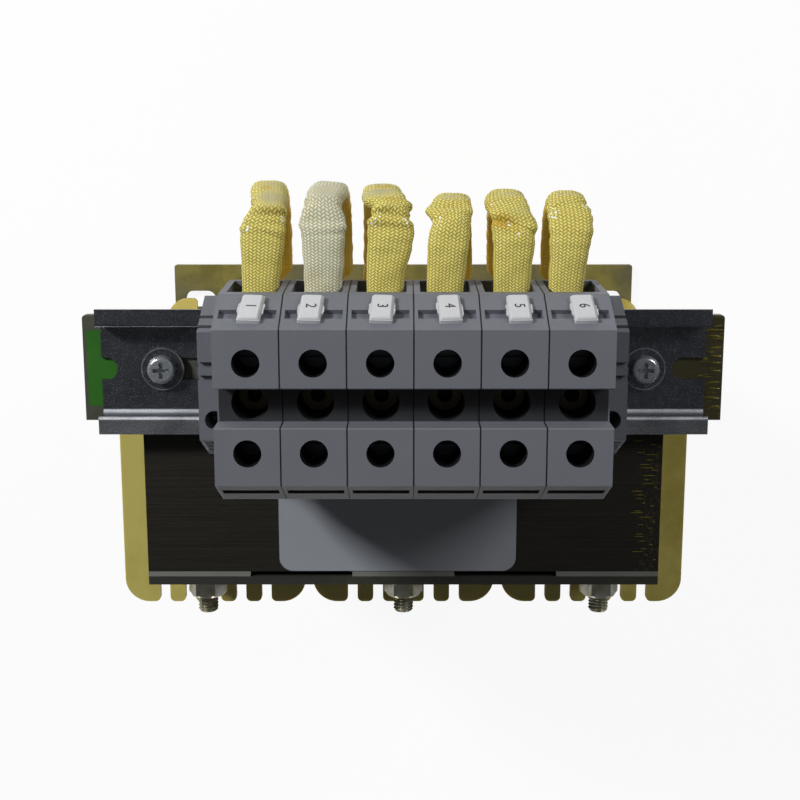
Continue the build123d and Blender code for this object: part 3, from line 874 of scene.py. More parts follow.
TINNED_COPPER = PlainFinish("tinned_copper", screen(190, 150, 120), screen(150, 112, 84), 0.35, metallic=0.9)
BAR_BRASS = PlainFinish("plated_brass", screen(118, 108, 86), screen(84, 76, 58), 0.45, metallic=0.5)
CAGE_STEEL = PlainFinish("cage_steel", screen(112, 116, 124), screen(78, 82, 90), 0.34, metallic=0.9)
BRAIDS = (
    BraidFinish(SleeveTint.YELLOW, screen(237, 226, 122), screen(130, 112, 27)),
    BraidFinish(SleeveTint.CREAM, screen(231, 230, 202), screen(136, 133, 100)),
)


def dress(node: str, material: bpy.types.Material, bevel: float = 0.0) -> None:
    """Gives a carried-over node its material, and softens its edges.

    Args:
        node: The node's name.
        material: Its new material.
        bevel: The rounding of its edges in millimetres, or none.
    """
    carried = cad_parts[node]
    for slot in carried.material_slots:
        slot.material = material
    if bevel:
        rounding = carried.modifiers.new("edges", "BEVEL")
        rounding.width = bevel * MM
        rounding.segments = 2
        rounding.limit_method = "ANGLE"
        rounding.angle_limit = math.radians(BEVEL_ANGLE)
        rounding.harden_normals = True
    LOG.info("node %s wears %s", node, material.name)


def add_piece(
    mesh: bpy.types.Mesh,
    material: bpy.types.Material,
    replaces: Sequence[str] = (),
    smooth: float = 40.0,
) -> None:
    """Puts a finished mesh into the scene as a piece of the reactor, under the mesh's name.

    Args:
        mesh: The mesh, in metres.
        material: Its material.
        replaces: Nodes of the frame that it stands for.
        smooth: Edges under this angle, in degrees, are shaded round.
    """
    mesh.materials.clear()
    mesh.materials.append(material)
    piece = bpy.data.objects.new(mesh.name, mesh)
    bpy.context.scene.collection.objects.link(piece)
    mesh.shade_smooth()
    mesh.set_sharp_from_angle(angle=math.radians(smooth))
    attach(piece, ROOT)
    if replaces:
        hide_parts(*replaces)
    LOG.info("piece %s: %d faces", piece.name, len(mesh.polygons))


class MeshMaker:
    """Collects closed shapes in millimetres, and turns them into one mesh."""

    def __init__(self) -> None:
        """Starts with nothing."""
        self.points: list[Sequence[float]] = []
        self.faces: list[Sequence[int]] = []

    def grid(self, rings: np.ndarray, loop: bool = False) -> None:
        """Adds a tube through rings of points.

        Args:
            rings: Rows of rings, each of as many points.
            loop: Whether the last ring joins the first. If not, flat faces close the ends.
        """
        rows, columns = rings.shape[:2]
        start = len(self.points)
        self.points.extend(rings.reshape(-1, 3).tolist())
        for row in range(rows if loop else rows - 1):
            below = start + row * columns
            above = start + (row + 1) % rows * columns
            for column in range(columns):
                after = (column + 1) % columns
                self.faces.append((below + column, below + after, above + after, above + column))
        if not loop:
            last = start + (rows - 1) * columns
            self.faces.append(tuple(range(start, start + columns))[::-1])
            self.faces.append(tuple(range(last, last + columns)))

    def mesh(self, name: str) -> bpy.types.Mesh:
        """Makes the mesh, with its faces turned outwards.

        Args:
            name: The mesh's name.

        Returns:
            The mesh, in metres.
        """
        made = bpy.data.meshes.new(name)
        made.from_pydata([[c * MM for c in p] for p in self.points], [], self.faces)
        work = bmesh.new()
        work.from_mesh(made)
        bmesh.ops.recalc_face_normals(work, faces=work.faces)
        work.to_mesh(made)
        work.free()
        made.update()
        return made


def turned_hexagon(
    profile: Sequence[tuple[float, float]], origin: Vector, across_flats: float, segments: int
) -> np.ndarray:
    """Turns a profile round an axis that runs to the near side, and trims it to a hexagon.

    Args:
        profile: Points of depth and radius, as an open line or a closed loop.
        origin: Where the depth is 0, on the axis.
        across_flats: The hexagon's width.
        segments: Steps round the axis.

    Returns:
        Rings of points, one for each point of the profile.
    """
    rings = np.zeros((len(profile), segments, 3))
    for column in range(segments):
        angle = 2 * math.pi * column / segments
        flat = across_flats / 2 / math.cos(angle % (math.pi / 3) - math.pi / 6)
        for row, (depth, radius) in enumerate(profile):
            reach = min(radius, flat)
            rings[row, column] = origin + Vector((reach * math.cos(angle), -depth, reach * math.sin(angle)))
    return rings


def rounded_outline(
    low: tuple[float, float], high: tuple[float, float], corner: float, steps: int
) -> list[tuple[float, float]]:
    """Outline of a rectangle with round corners.

    Args:
        low: Its lowest corner.
        high: Its highest corner.
        corner: The corners' radius.
        steps: Steps in each corner.

    Returns:
        The outline's points, once round.
    """
    points = []
    middles = (
        (high[0] - corner, high[1] - corner),
        (low[0] + corner, high[1] - corner),
        (low[0] + corner, low[1] + corner),
        (high[0] - corner, low[1] + corner),
    )
    for quarter, (x, y) in enumerate(middles):
        for step in range(steps + 1):
            angle = math.pi / 2 * (quarter + step / steps)
            points.append((x + corner * math.cos(angle), y + corner * math.sin(angle)))
    return points


@dataclass(frozen=True)
class Film:
    """A thin blank film with round corners that lies on top of a node."""

    name: str
    node: str
    low: tuple[float, float]
    high: tuple[float, float]
    thickness: float
    corner: float
    corner_steps: int
    finish: PlainFinish

    def add(self) -> None:
        """Lays the film on its node."""
        top = node_box(self.node).high.z
        outline = rounded_outline(self.low, self.high, self.corner, self.corner_steps)
        maker = MeshMaker()
        maker.grid(np.array([[(x, y, top + z) for x, y in outline] for z in (0.0, self.thickness)]))
        add_piece(maker.mesh(self.name), self.finish.material())


RATING_LABEL = Film(
    "rating_label",
    "core_i_yoke",
    low=(-35.9, -22.3),
    high=(32.6, 18.0),
    thickness=0.12,
    corner=4.0,
    corner_steps=8,
    finish=LABEL_FILM,
)
GREEN_STICKER = Film(
    "green_sticker",
    "rail_bracket",
    low=(-89.0, 26.6),
    high=(-79.0, 48.3),
    thickness=0.06,
    corner=1.0,
    corner_steps=4,
    finish=STICKER_GREEN,
)


@dataclass
class Core:
    """The laminated core with its gap pads, its clamp bar and the bare rating label."""

    bar_edge: float = 0.25

    def build(self) -> None:
        """Dresses the core's nodes and lays the label on the upper yoke."""
        laminations = LaminationFinish().material()
        for node in ("core_e_stack", "core_i_yoke"):
            dress(node, laminations)
        board = BoardFinish().material()
        for number in (1, 2, 3):
            dress(f"gap_pad_{number}", board)
            dress(f"packing_strip_{number}", board)
        dress("clamp_bar", CLAMP_BAR_STEEL.material(), self.bar_edge)
        RATING_LABEL.add()


@dataclass
class Frame:
    """The steel angles, with the varnish that ran over them and the green sticker."""

    edge: float = 0.3
    bead_count: int = 10
    bead_first: float = 26.5
    bead_last: float = 48.5
    bead_length: float = 4.6
    bead_radius: float = 0.32
    bead_flatness: float = 0.55
    bead_rows: int = 9
    bead_columns: int = 10
    edge_gap: float = 0.4
    waver: float = 0.4
    slant: float = 0.5
    run_lengths: tuple[float, float] = (0.8, 4.2)
    run_insets: tuple[float, float] = (0.2, 5.5)
    run_first: float = -19.0
    run_last: float = 17.0
    run_step: float = 1.15
    run_thinness: float = 0.45
    seed: int = 11

    def build(self) -> None:
        """Dresses the angles, and adds the sticker and the varnish beads."""
        dress("rail_bracket", BRACKET_STEEL.material(), self.edge)
        feet = FOOT_STEEL.material()
        for node in ("foot_angle_front", "foot_angle_rear"):
            dress(node, feet, self.edge)
        GREEN_STICKER.add()
        self.add_beads()

    def add_beads(self) -> None:
        """Adds short beads of set varnish on the bracket's right end and the yoke's right edge."""
        random = np.random.default_rng(self.seed)
        maker = MeshMaker()
        bracket, yoke = node_box("rail_bracket").high, node_box("core_i_yoke").high
        for place in np.linspace(self.bead_first, self.bead_last, self.bead_count):
            length = self.bead_length * random.uniform(0.55, 1.0)
            across = place + random.uniform(-self.waver, self.waver)
            end = Vector((bracket.x - self.edge_gap, across, bracket.z))
            start = end - Vector((length, random.uniform(-self.slant, self.slant), 0))
            self.add_bead(maker, start, end, random)
        for place in np.arange(self.run_first, self.run_last, self.run_step):
            length = random.uniform(*self.run_lengths)
            inset = random.uniform(*self.run_insets)
            end = Vector((yoke.x - inset, place + random.uniform(-self.waver, self.waver), yoke.z))
            self.add_bead(maker, end - Vector((length, 0, 0)), end, random, self.run_thinness)
        add_piece(maker.mesh("varnish_runs"), VARNISH.material(), smooth=80)

    def add_bead(
        self, maker: MeshMaker, start: Vector, end: Vector, random: np.random.Generator, thin: float = 1.0
    ) -> None:
        """Adds one low bead that lies on a flat face.

        Args:
            maker: Where it is added.
            start: One end, on the face.
            end: The other end, on the face.
            random: Source of its unevenness.
            thin: Its share of the usual radius.
        """
        rows, columns = self.bead_rows, self.bead_columns
        along = (end - start).normalized()
        side = along.cross(Vector((0, 0, 1)))
        rings = np.zeros((rows, columns, 3))
        for row in range(rows):
            share = row / (rows - 1)
            swell = math.sin(math.pi * min(max(share, 0.04), 0.96)) ** 0.5 * random.uniform(0.8, 1.15)
            radius = self.bead_radius * thin * swell
            for column in range(columns):
                angle = 2 * math.pi * column / columns
                rise = Vector((0, 0, self.bead_flatness * radius * math.sin(angle)))
                rings[row, column] = start.lerp(end, share) + side * (radius * math.cos(angle)) + rise
        maker.grid(rings)


@dataclass
class Fasteners:
    """Through bolts with threaded ends, hexagon nuts, split spring washers and the rail's screws."""

    plate_edge: float = 0.2
    rim_edge: float = 0.3
    across_flats: float = 10.0
    past_corners: float = 7.05
    chamfer: float = 0.75
    nut_rim: float = 0.15
    head_rim: float = 0.3
    head_height: float = 4.0
    head_core: float = 0.2
    bolt_radius: float = 3.0
    bore_play: float = 0.05
    bore_chamfer: float = 0.5
    tip_chamfer: float = 0.6
    thread_pitch: float = 1.0
    thread_depth: float = 0.55
    thread_steps: int = 8
    thread_columns: int = 36
    segments: int = 60
    ring_play: float = 0.3
    ring_steps: int = 48
    split: float = 0.24
    split_lift: float = 0.55

    def build(self) -> None:
        """Makes bolts, nuts and spring washers, and dresses the flat washers and screws."""
        steel = NUT_STEEL.material()
        dress("core_washers", steel, self.plate_edge)
        dress("rail_screws", SCREW_ZINC.material(), self.plate_edge)
        offsets = [abs(box.middle.x) for box in island_boxes("rail_washers")]
        rim = sum(offsets) / len(offsets)
        dress("rail_washers", ZincFinish("washer_zinc", rim=rim).material(), self.rim_edge)
        nuts = island_boxes("core_nuts")
        self.add_nuts(nuts, steel)
        self.add_bolts(nuts, BOLT_STEEL.material())
        self.add_spring_washers(steel)

    def add_nuts(self, nuts: Sequence[Box], steel: bpy.types.Material) -> None:
        """Adds the nuts, with chamfered corners and round bores.

        Args:
            nuts: The boxes round the nuts.
            steel: Their material.
        """
        maker = MeshMaker()
        bore = self.bolt_radius + self.bore_play
        face = self.across_flats / 2 - self.nut_rim
        for box in nuts:
            height = box.high.y - box.low.y
            profile = [
                (0.0, bore),
                (0.0, face),
                (self.chamfer, self.past_corners),
                (height - self.chamfer, self.past_corners),
                (height, face),
                (height, self.bolt_radius + self.bore_chamfer),
                (height - self.bore_chamfer, bore),
            ]
            rings = turned_hexagon(profile, box.far_middle, self.across_flats, self.segments)
            maker.grid(rings, loop=True)
        add_piece(maker.mesh("hexagon_nuts"), steel, ["core_nuts"], smooth=25)

    def add_bolts(self, nuts: Sequence[Box], steel: bpy.types.Material) -> None:
        """Adds the bolts: chamfered heads on the far side, shanks, and threads past the nuts.

        Args:
            nuts: The boxes round the nuts that they carry.
            steel: Their material.
        """
        maker = MeshMaker()
        head = [
            (0.0, self.head_core),
            (0.0, self.across_flats / 2 - self.head_rim),
            (self.chamfer, self.past_corners),
            (self.head_height, self.past_corners),
            (self.head_height, self.head_core),
        ]
        for box in island_boxes("core_bolts"):
            maker.grid(turned_hexagon(head, box.far_middle, self.across_flats, self.segments))
            middle = box.middle
            gaps = [math.hypot(nut.middle.x - middle.x, nut.middle.z - middle.z) for nut in nuts]
            nut = nuts[gaps.index(min(gaps))]
            maker.grid(self.threaded_rod(middle, box.high.y - self.head_height, nut.high.y, box.low.y))
        add_piece(maker.mesh("through_bolts"), steel, ["core_bolts"], smooth=50)

    def threaded_rod(self, middle: Vector, start: float, thread_start: float, stop: float) -> np.ndarray:
        """Rings of a rod along Y with a plain shank and a helical thread at its near end.

        Args:
            middle: A point on its axis.
            start: Where it begins, on the far side.
            thread_start: Where its thread begins.
            stop: Its near end.

        Returns:
            The rod's rings.
        """
        step = self.thread_pitch / self.thread_steps
        places = [start, thread_start]
        while places[-1] - step > stop + step:
            places.append(places[-1] - step)
        places.append(stop)
        columns = self.thread_columns
        rings = np.zeros((len(places), columns, 3))
        for row, y in enumerate(places):
            past_tip = max(1 - (y - stop) / self.tip_chamfer, 0.0)
            for column in range(columns):
                angle = 2 * math.pi * column / columns
                turn = ((thread_start - y) / self.thread_pitch - column / columns) % 1.0
                cut = self.thread_depth * (1 - abs(2 * turn - 1)) if row > 1 else 0.0
                radius = self.bolt_radius - max(cut, self.tip_chamfer * past_tip)
                across, rise = radius * math.cos(angle), radius * math.sin(angle)
                rings[row, column] = (middle.x + across, y, middle.z + rise)
        return rings

    def add_spring_washers(self, steel: bpy.types.Material) -> None:
        """Adds the split rings between the near washers and the nuts.

        Args:
            steel: Their material.
        """
        maker = MeshMaker()
        for box in island_boxes("spring_washers"):
            middle = box.far_middle
            inner, outer = self.bolt_radius + self.ring_play, (box.high.x - box.low.x) / 2
            thickness = box.high.y - box.low.y
            rings = np.zeros((self.ring_steps, 4, 3))
            for row in range(self.ring_steps):
                share = row / (self.ring_steps - 1)
                angle = self.split / 2 + (2 * math.pi - self.split) * share + math.pi / 2
                near = max(self.split_lift * (share - 0.5) * 0.5, 0.0) - thickness
                section = ((inner, 0.0), (outer, 0.0), (outer, near), (inner, near))
                for column, (radius, y) in enumerate(section):
                    across, rise = radius * math.cos(angle), radius * math.sin(angle)
                    rings[row, column] = (middle.x + across, middle.y + y, middle.z + rise)
            maker.grid(rings)
        add_piece(maker.mesh("split_washers"), steel, ["spring_washers"], smooth=30)


@dataclass
class Coils:
    """The bobbins and the flat-wire windings on them."""

    bobbin_edge: float = 0.35
    wire_edge: float = 0.3

    def build(self) -> None:
        """Dresses the bobbins and the windings."""
        plastic = BobbinFinish().material()
        enamel = TurnsFinish().material()
        for number in (1, 2, 3):
            dress(f"bobbin_{number}", plastic, self.bobbin_edge)
            dress(f"winding_{number}", enamel, self.wire_edge)


@dataclass
class TerminalRow:
    """The mounting rail with its feed-through terminals, their metal and the end stops."""

    rail_edge: float = 0.12
    moulded_edge: float = 0.22
    bar_edge: float = 0.15
    cage_edge: float = 0.12

    def build(self) -> None:
        """Dresses the rail, the housings and their metal."""
        dress("din_rail", RAIL_ZINC.material(), self.rail_edge)
        grey = MouldedGreyFinish().material()
        brass = BAR_BRASS.material()
        cage = CAGE_STEEL.material()
        for number in range(1, TERMINALS + 1):
            dress(f"terminal_body_{number}", grey, self.moulded_edge)
            dress(f"current_bar_{number}", brass, self.bar_edge)
        for node in ("end_stop_left", "end_stop_right"):
            dress(node, grey, self.moulded_edge)
        for node in ("wire_clamps", "clamp_screws", "end_stop_screws"):
            dress(node, cage, self.cage_edge)


@dataclass(frozen=True)
class Seat:
    """Where a tag's face lies: its middle, and its directions across, up the slope and outwards."""

    middle: Vector
    across: Vector
    rise: Vector
    normal: Vector

    def at(self, x: float, y: float, z: float) -> Vector:
        """A place counted from the middle in the three directions, in millimetres."""
        return self.middle + self.across * x + self.rise * y + self.normal * z


@dataclass
class MarkerTags:
    """White tags snapped off their strip and clipped over the channels, with plain numbers."""

    shifts: tuple[float, ...] = (0.85, -0.75, 0.4, 0.65, 1.35, 0.9)
    turns: tuple[float, ...] = (3.5, 3.0, 3.0, -2.5, -1.0, -1.5)
    thickness: float = 1.6
    half_length: float = 5.2
    raised: float = 0.6
    foot_half: float = 2.75
    foot_height: float = 0.9
    face_half: float = 2.45
    face_bevel: float = 0.3
    corner: float = 0.35
    corner_steps: int = 3
    flash_reach: float = 0.55
    flash_root: float = 0.4
    flash_rows: int = 12
    flash_thickness: float = 0.5
    digit_size: float = 3.7
    digit_depth: float = 0.05
    seed: int = 21

    def build(self) -> None:
        """Makes the tags and prints their numbers."""
        plastic = TAG_PLASTIC.material()
        ink = TAG_INK.material()
        random = np.random.default_rng(self.seed)
        for number, (shift, turn) in enumerate(zip(self.shifts, self.turns), 1):
            seat = self.seat(number, shift, turn)
            self.add_plate(number, seat, plastic, random)
            self.add_digit(number, seat, ink)

    def seat(self, number: int, shift: float, turn: float) -> Seat:
        """Where a tag's face lies, read from the frame.

        Args:
            number: The terminal's number.
            shift: How far the tag was pushed along its channel.
            turn: How far its head leans to the right, in degrees.

        Returns:
            The seat.
        """
        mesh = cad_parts[f"marker_tag_{number}"].data
        largest = max(mesh.polygons, key=lambda face: face.area * (face.normal.z > 0.1))
        normal = Vector(largest.normal)
        level = max(normal.dot(point.co) for point in mesh.vertices)
        face = [point.co for point in mesh.vertices if normal.dot(point.co) > level - 0.05 * MM]
        across = Vector((1, 0, 0))
        middle = sum(face, Vector()) / len(face) / MM
        middle = middle + across * shift + normal.cross(across) * self.raised
        across = Matrix.Rotation(math.radians(-turn), 3, normal) @ across
        return Seat(middle, across, normal.cross(across), normal)

    def add_plate(
        self, number: int, seat: Seat, plastic: bpy.types.Material, random: np.random.Generator
    ) -> None:
        """Adds one tag: its foot, its raised face and the ragged flash along its sides.

        Args:
            number: The terminal's number.
            seat: Where its face lies.
            plastic: Its material.
            random: Source of the flash's outline.
        """
        maker = MeshMaker()
        inset = self.foot_half - self.face_half
        foot_top = self.foot_height - self.thickness
        levels = (
            (0.0, -self.thickness),
            (0.0, foot_top),
            (inset * 0.6, foot_top),
            (inset, -self.face_bevel),
            (inset + self.face_bevel, 0.0),
        )
        rings = []
        for shrink, height in levels:
            half = (self.foot_half - shrink, self.half_length - shrink)
            outline = rounded_outline((-half[0], -half[1]), half, self.corner, self.corner_steps)
            rings.append([seat.at(x, y, height) for x, y in outline])
        maker.grid(np.array(rings))
        for side in (-1, 1):
            maker.grid(self.flash(seat, side, random))
        mesh = maker.mesh(f"number_tag_{number}")
        add_piece(mesh, plastic, [f"marker_tag_{number}"], smooth=20)

    def flash(self, seat: Seat, side: int, random: np.random.Generator) -> np.ndarray:
        """Rings of the ragged plastic that is left where a tag was snapped from its neighbour.

        Args:
            seat: Where the tag's face lies.
            side: -1 for the left side, 1 for the right.
            random: Source of its outline.

        Returns:
            The rings.
        """
        start = random.uniform(-3.6, -2.2)
        stop = random.uniform(1.6, 3.2)
        root = self.foot_half - self.flash_root
        bottom = self.foot_height - self.thickness - self.flash_thickness
        rings = []
        for n, place in enumerate(np.linspace(start, stop, self.flash_rows)):
            taper = min(n, self.flash_rows - 1 - n, 2) / 2
            reach = self.foot_half + self.flash_reach * taper * random.uniform(0.45, 1.0)
            top = bottom + self.flash_thickness * random.uniform(0.8, 1.1)
            corners = ((root, bottom), (reach, bottom), (reach, top), (root, top))
            rings.append([seat.at(side * x, place, z) for x, z in corners])
        return np.array(rings)

    def add_digit(self, number: int, seat: Seat, ink: bpy.types.Material) -> None:
        """Prints a plain number on a tag, turned with its head to the right.

        Args:
            number: The number.
            seat: Where the tag's face lies.
            ink: Its material.
        """
        curve = bpy.data.curves.new(f"digit_{number}", "FONT")
        curve.body = str(number)
        curve.size = self.digit_size
        curve.extrude = self.digit_depth
        curve.align_x = "CENTER"
        curve.align_y = "CENTER"
        written = bpy.data.objects.new(f"digit_{number}", curve)
        bpy.context.scene.collection.objects.link(written)
        bpy.context.view_layer.update()
        graph = bpy.context.evaluated_depsgraph_get()
        mesh = bpy.data.meshes.new_from_object(written.evaluated_get(graph))
        mesh.name = f"tag_number_{number}"
        bpy.data.objects.remove(written)
        for point in mesh.vertices:
            reading, height, depth = point.co
            point.co = seat.at(height, -reading, depth) * MM
        add_piece(mesh, ink, smooth=20)


@dataclass(frozen=True)
class Station:
    """One place of a sleeve as it is seen from above, in millimetres."""

    along: float
    shift: float
    half: float


@dataclass(frozen=True)
class Mark:
    """A patch of a sleeve: its middle, its spread and its strength."""

    along: float
    side: float
    length: float
    width: float
    strength: float = 1.0


@dataclass(frozen=True)
class Crease:
    """A fold that crosses a sleeve's upper face."""

    along: float
    slant: float
    depth: float


@dataclass(frozen=True)
class Lead:
    """One sleeved lead, with the places where its sleeve was bent, strained and stained, and where glints are
    painted on it.

    Places along it are counted from its terminal's mouth. Sides run from -1, left, to 1, right.
    """

    number: int
    exit_x: float
    far_shift: float
    stations: tuple[Station, ...]
    flecks: tuple[Mark, ...]
    strained: tuple[Mark, ...]
    stained: tuple[Mark, ...]
    creases: tuple[Crease, ...]
    tint: SleeveTint = SleeveTint.YELLOW


LEADS = (
    Lead(
        1, -60.0, -1.7,
        (Station(0, 1.3, 4.7), Station(14.2, 2.1, 5.8), Station(16.2, 2.6, 5.5), Station(18.8, 3.7, 4.3),
         Station(24, 3.1, 4.5), Station(34, 2.2, 4.6)),
        (Mark(14.4, -0.8, 1.6, 0.25), Mark(15.6, 0.85, 1.0, 0.1)),
        (Mark(20.5, 0.3, 2.6, 1.2), Mark(26.5, 0.2, 3.0, 1.0, 0.9)),
        (Mark(24.0, -0.1, 0.9, 0.35, 0.9), Mark(17.6, 0.0, 1.0, 1.0, 0.4), Mark(12, 0.9, 6, 0.35, 0.3)),
        (Crease(16.6, 0.2, 0.3), Crease(13.0, -2.2, 0.2), Crease(22.5, 0.6, 0.2)),
    ),
    Lead(
        2, -45.5, 1.3,
        (Station(0, 1.2, 4.8), Station(12.5, 1.3, 5.5), Station(15.4, 1.2, 6.1), Station(17.4, 1.1, 5.3),
         Station(20.5, 0.9, 4.4), Station(25.5, 2.0, 5.0), Station(34, 2.0, 4.8)),
        (Mark(14.0, 0.8, 1.2, 0.15),),
        (Mark(23.5, 0.2, 4.0, 1.4, 0.7),),
        (Mark(27.5, 0.3, 2.0, 1.0, 0.3), Mark(22.0, 0.2, 1.6, 0.5, 0.25)),
        (Crease(12.2, 0.3, 0.22), Crease(14.4, -0.9, 0.15), Crease(24.6, 1.2, 0.22)),
        SleeveTint.CREAM,
    ),
    Lead(
        3, -8.0, -2.2,
        (Station(0, 0.8, 4.6), Station(13.2, 2.5, 6.1), Station(16.4, 1.9, 5.1), Station(18.2, 2.3, 4.3),
         Station(20.0, 2.9, 5.1), Station(22.4, 0.7, 5.6), Station(26, 0.2, 4.9)),
        (Mark(15.8, -0.7, 1.3, 0.25), Mark(15.6, 0.75, 0.8, 0.12), Mark(98, -0.9, 2.0, 0.2)),
        (Mark(24.0, -0.1, 2.0, 1.3), Mark(28.5, 0.1, 1.8, 0.9)),
        (Mark(26.2, 0.1, 0.6, 0.7, 0.8), Mark(20.6, 0.1, 1.4, 0.8, 0.55), Mark(10, 0.7, 5, 0.3, 0.3)),
        (Crease(17.4, 0.5, 0.35), Crease(22.2, -0.8, 0.3)),
    ),
    Lead(
        4, 10.0, 5.9,
        (Station(0, 0.2, 4.65), Station(11.5, 1.0, 5.3), Station(14.4, 1.5, 4.9), Station(15.8, 1.9, 4.6),
         Station(20.0, 1.1, 6.2), Station(23.5, 1.8, 4.9), Station(34, 2.6, 4.7)),
        (Mark(15.2, -0.8, 1.2, 0.2),),
        (Mark(24.0, 0.1, 1.6, 1.0, 0.8), Mark(15.0, 0.6, 1.6, 0.3, 0.4)),
        (Mark(20.0, 0.2, 2.6, 0.8, 0.35), Mark(22.6, 0.9, 1.2, 0.3, 0.45)),
        (Crease(16.3, 0.8, 0.35), Crease(23.0, -0.9, 0.3)),
    ),
    Lead(
        5, 45.5, 4.0,
        (Station(0, 1.05, 4.6), Station(12.5, 1.5, 5.4), Station(14.9, 1.6, 5.9), Station(16.8, 1.1, 5.1),
         Station(22.0, -0.2, 5.6), Station(26, -0.4, 4.9), Station(34, 0.8, 4.7)),
        (Mark(20.6, -0.75, 0.9, 0.15), Mark(14.5, -0.4, 0.8, 0.2), Mark(12.5, 0.25, 0.5, 0.1)),
        (Mark(24.5, 0.2, 1.8, 1.0, 0.7), Mark(18.0, 0.5, 2.2, 0.7, 0.4)),
        (Mark(15.2, -0.6, 1.7, 0.7, 0.9), Mark(13.0, 0.1, 1.2, 0.5, 0.45), Mark(21.0, -0.9, 3.0, 0.3, 0.6)),
        (Crease(14.2, -1.7, 0.55), Crease(21.5, 1.3, 0.2)),
    ),
    Lead(
        6, 60.0, 3.6,
        (Station(0, -1.2, 4.3), Station(14.0, 0.0, 5.5), Station(19.0, -0.3, 5.6), Station(22.0, -0.7, 5.0),
         Station(34, 0.6, 4.6)),
        (Mark(17.6, -0.75, 1.4, 0.2), Mark(20.0, 0.8, 1.0, 0.15), Mark(84, -0.7, 3.0, 0.2)),
        (Mark(25.0, 0.1, 1.5, 1.0, 0.7), Mark(19.0, 0.8, 1.6, 0.25, 0.4)),
        (Mark(22.5, 0.1, 1.2, 0.9, 0.35), Mark(90, -0.8, 14, 0.6, 0.9)),
        (Crease(20.0, 1.5, 0.25), Crease(17.2, -0.6, 0.12)),
    ),
)


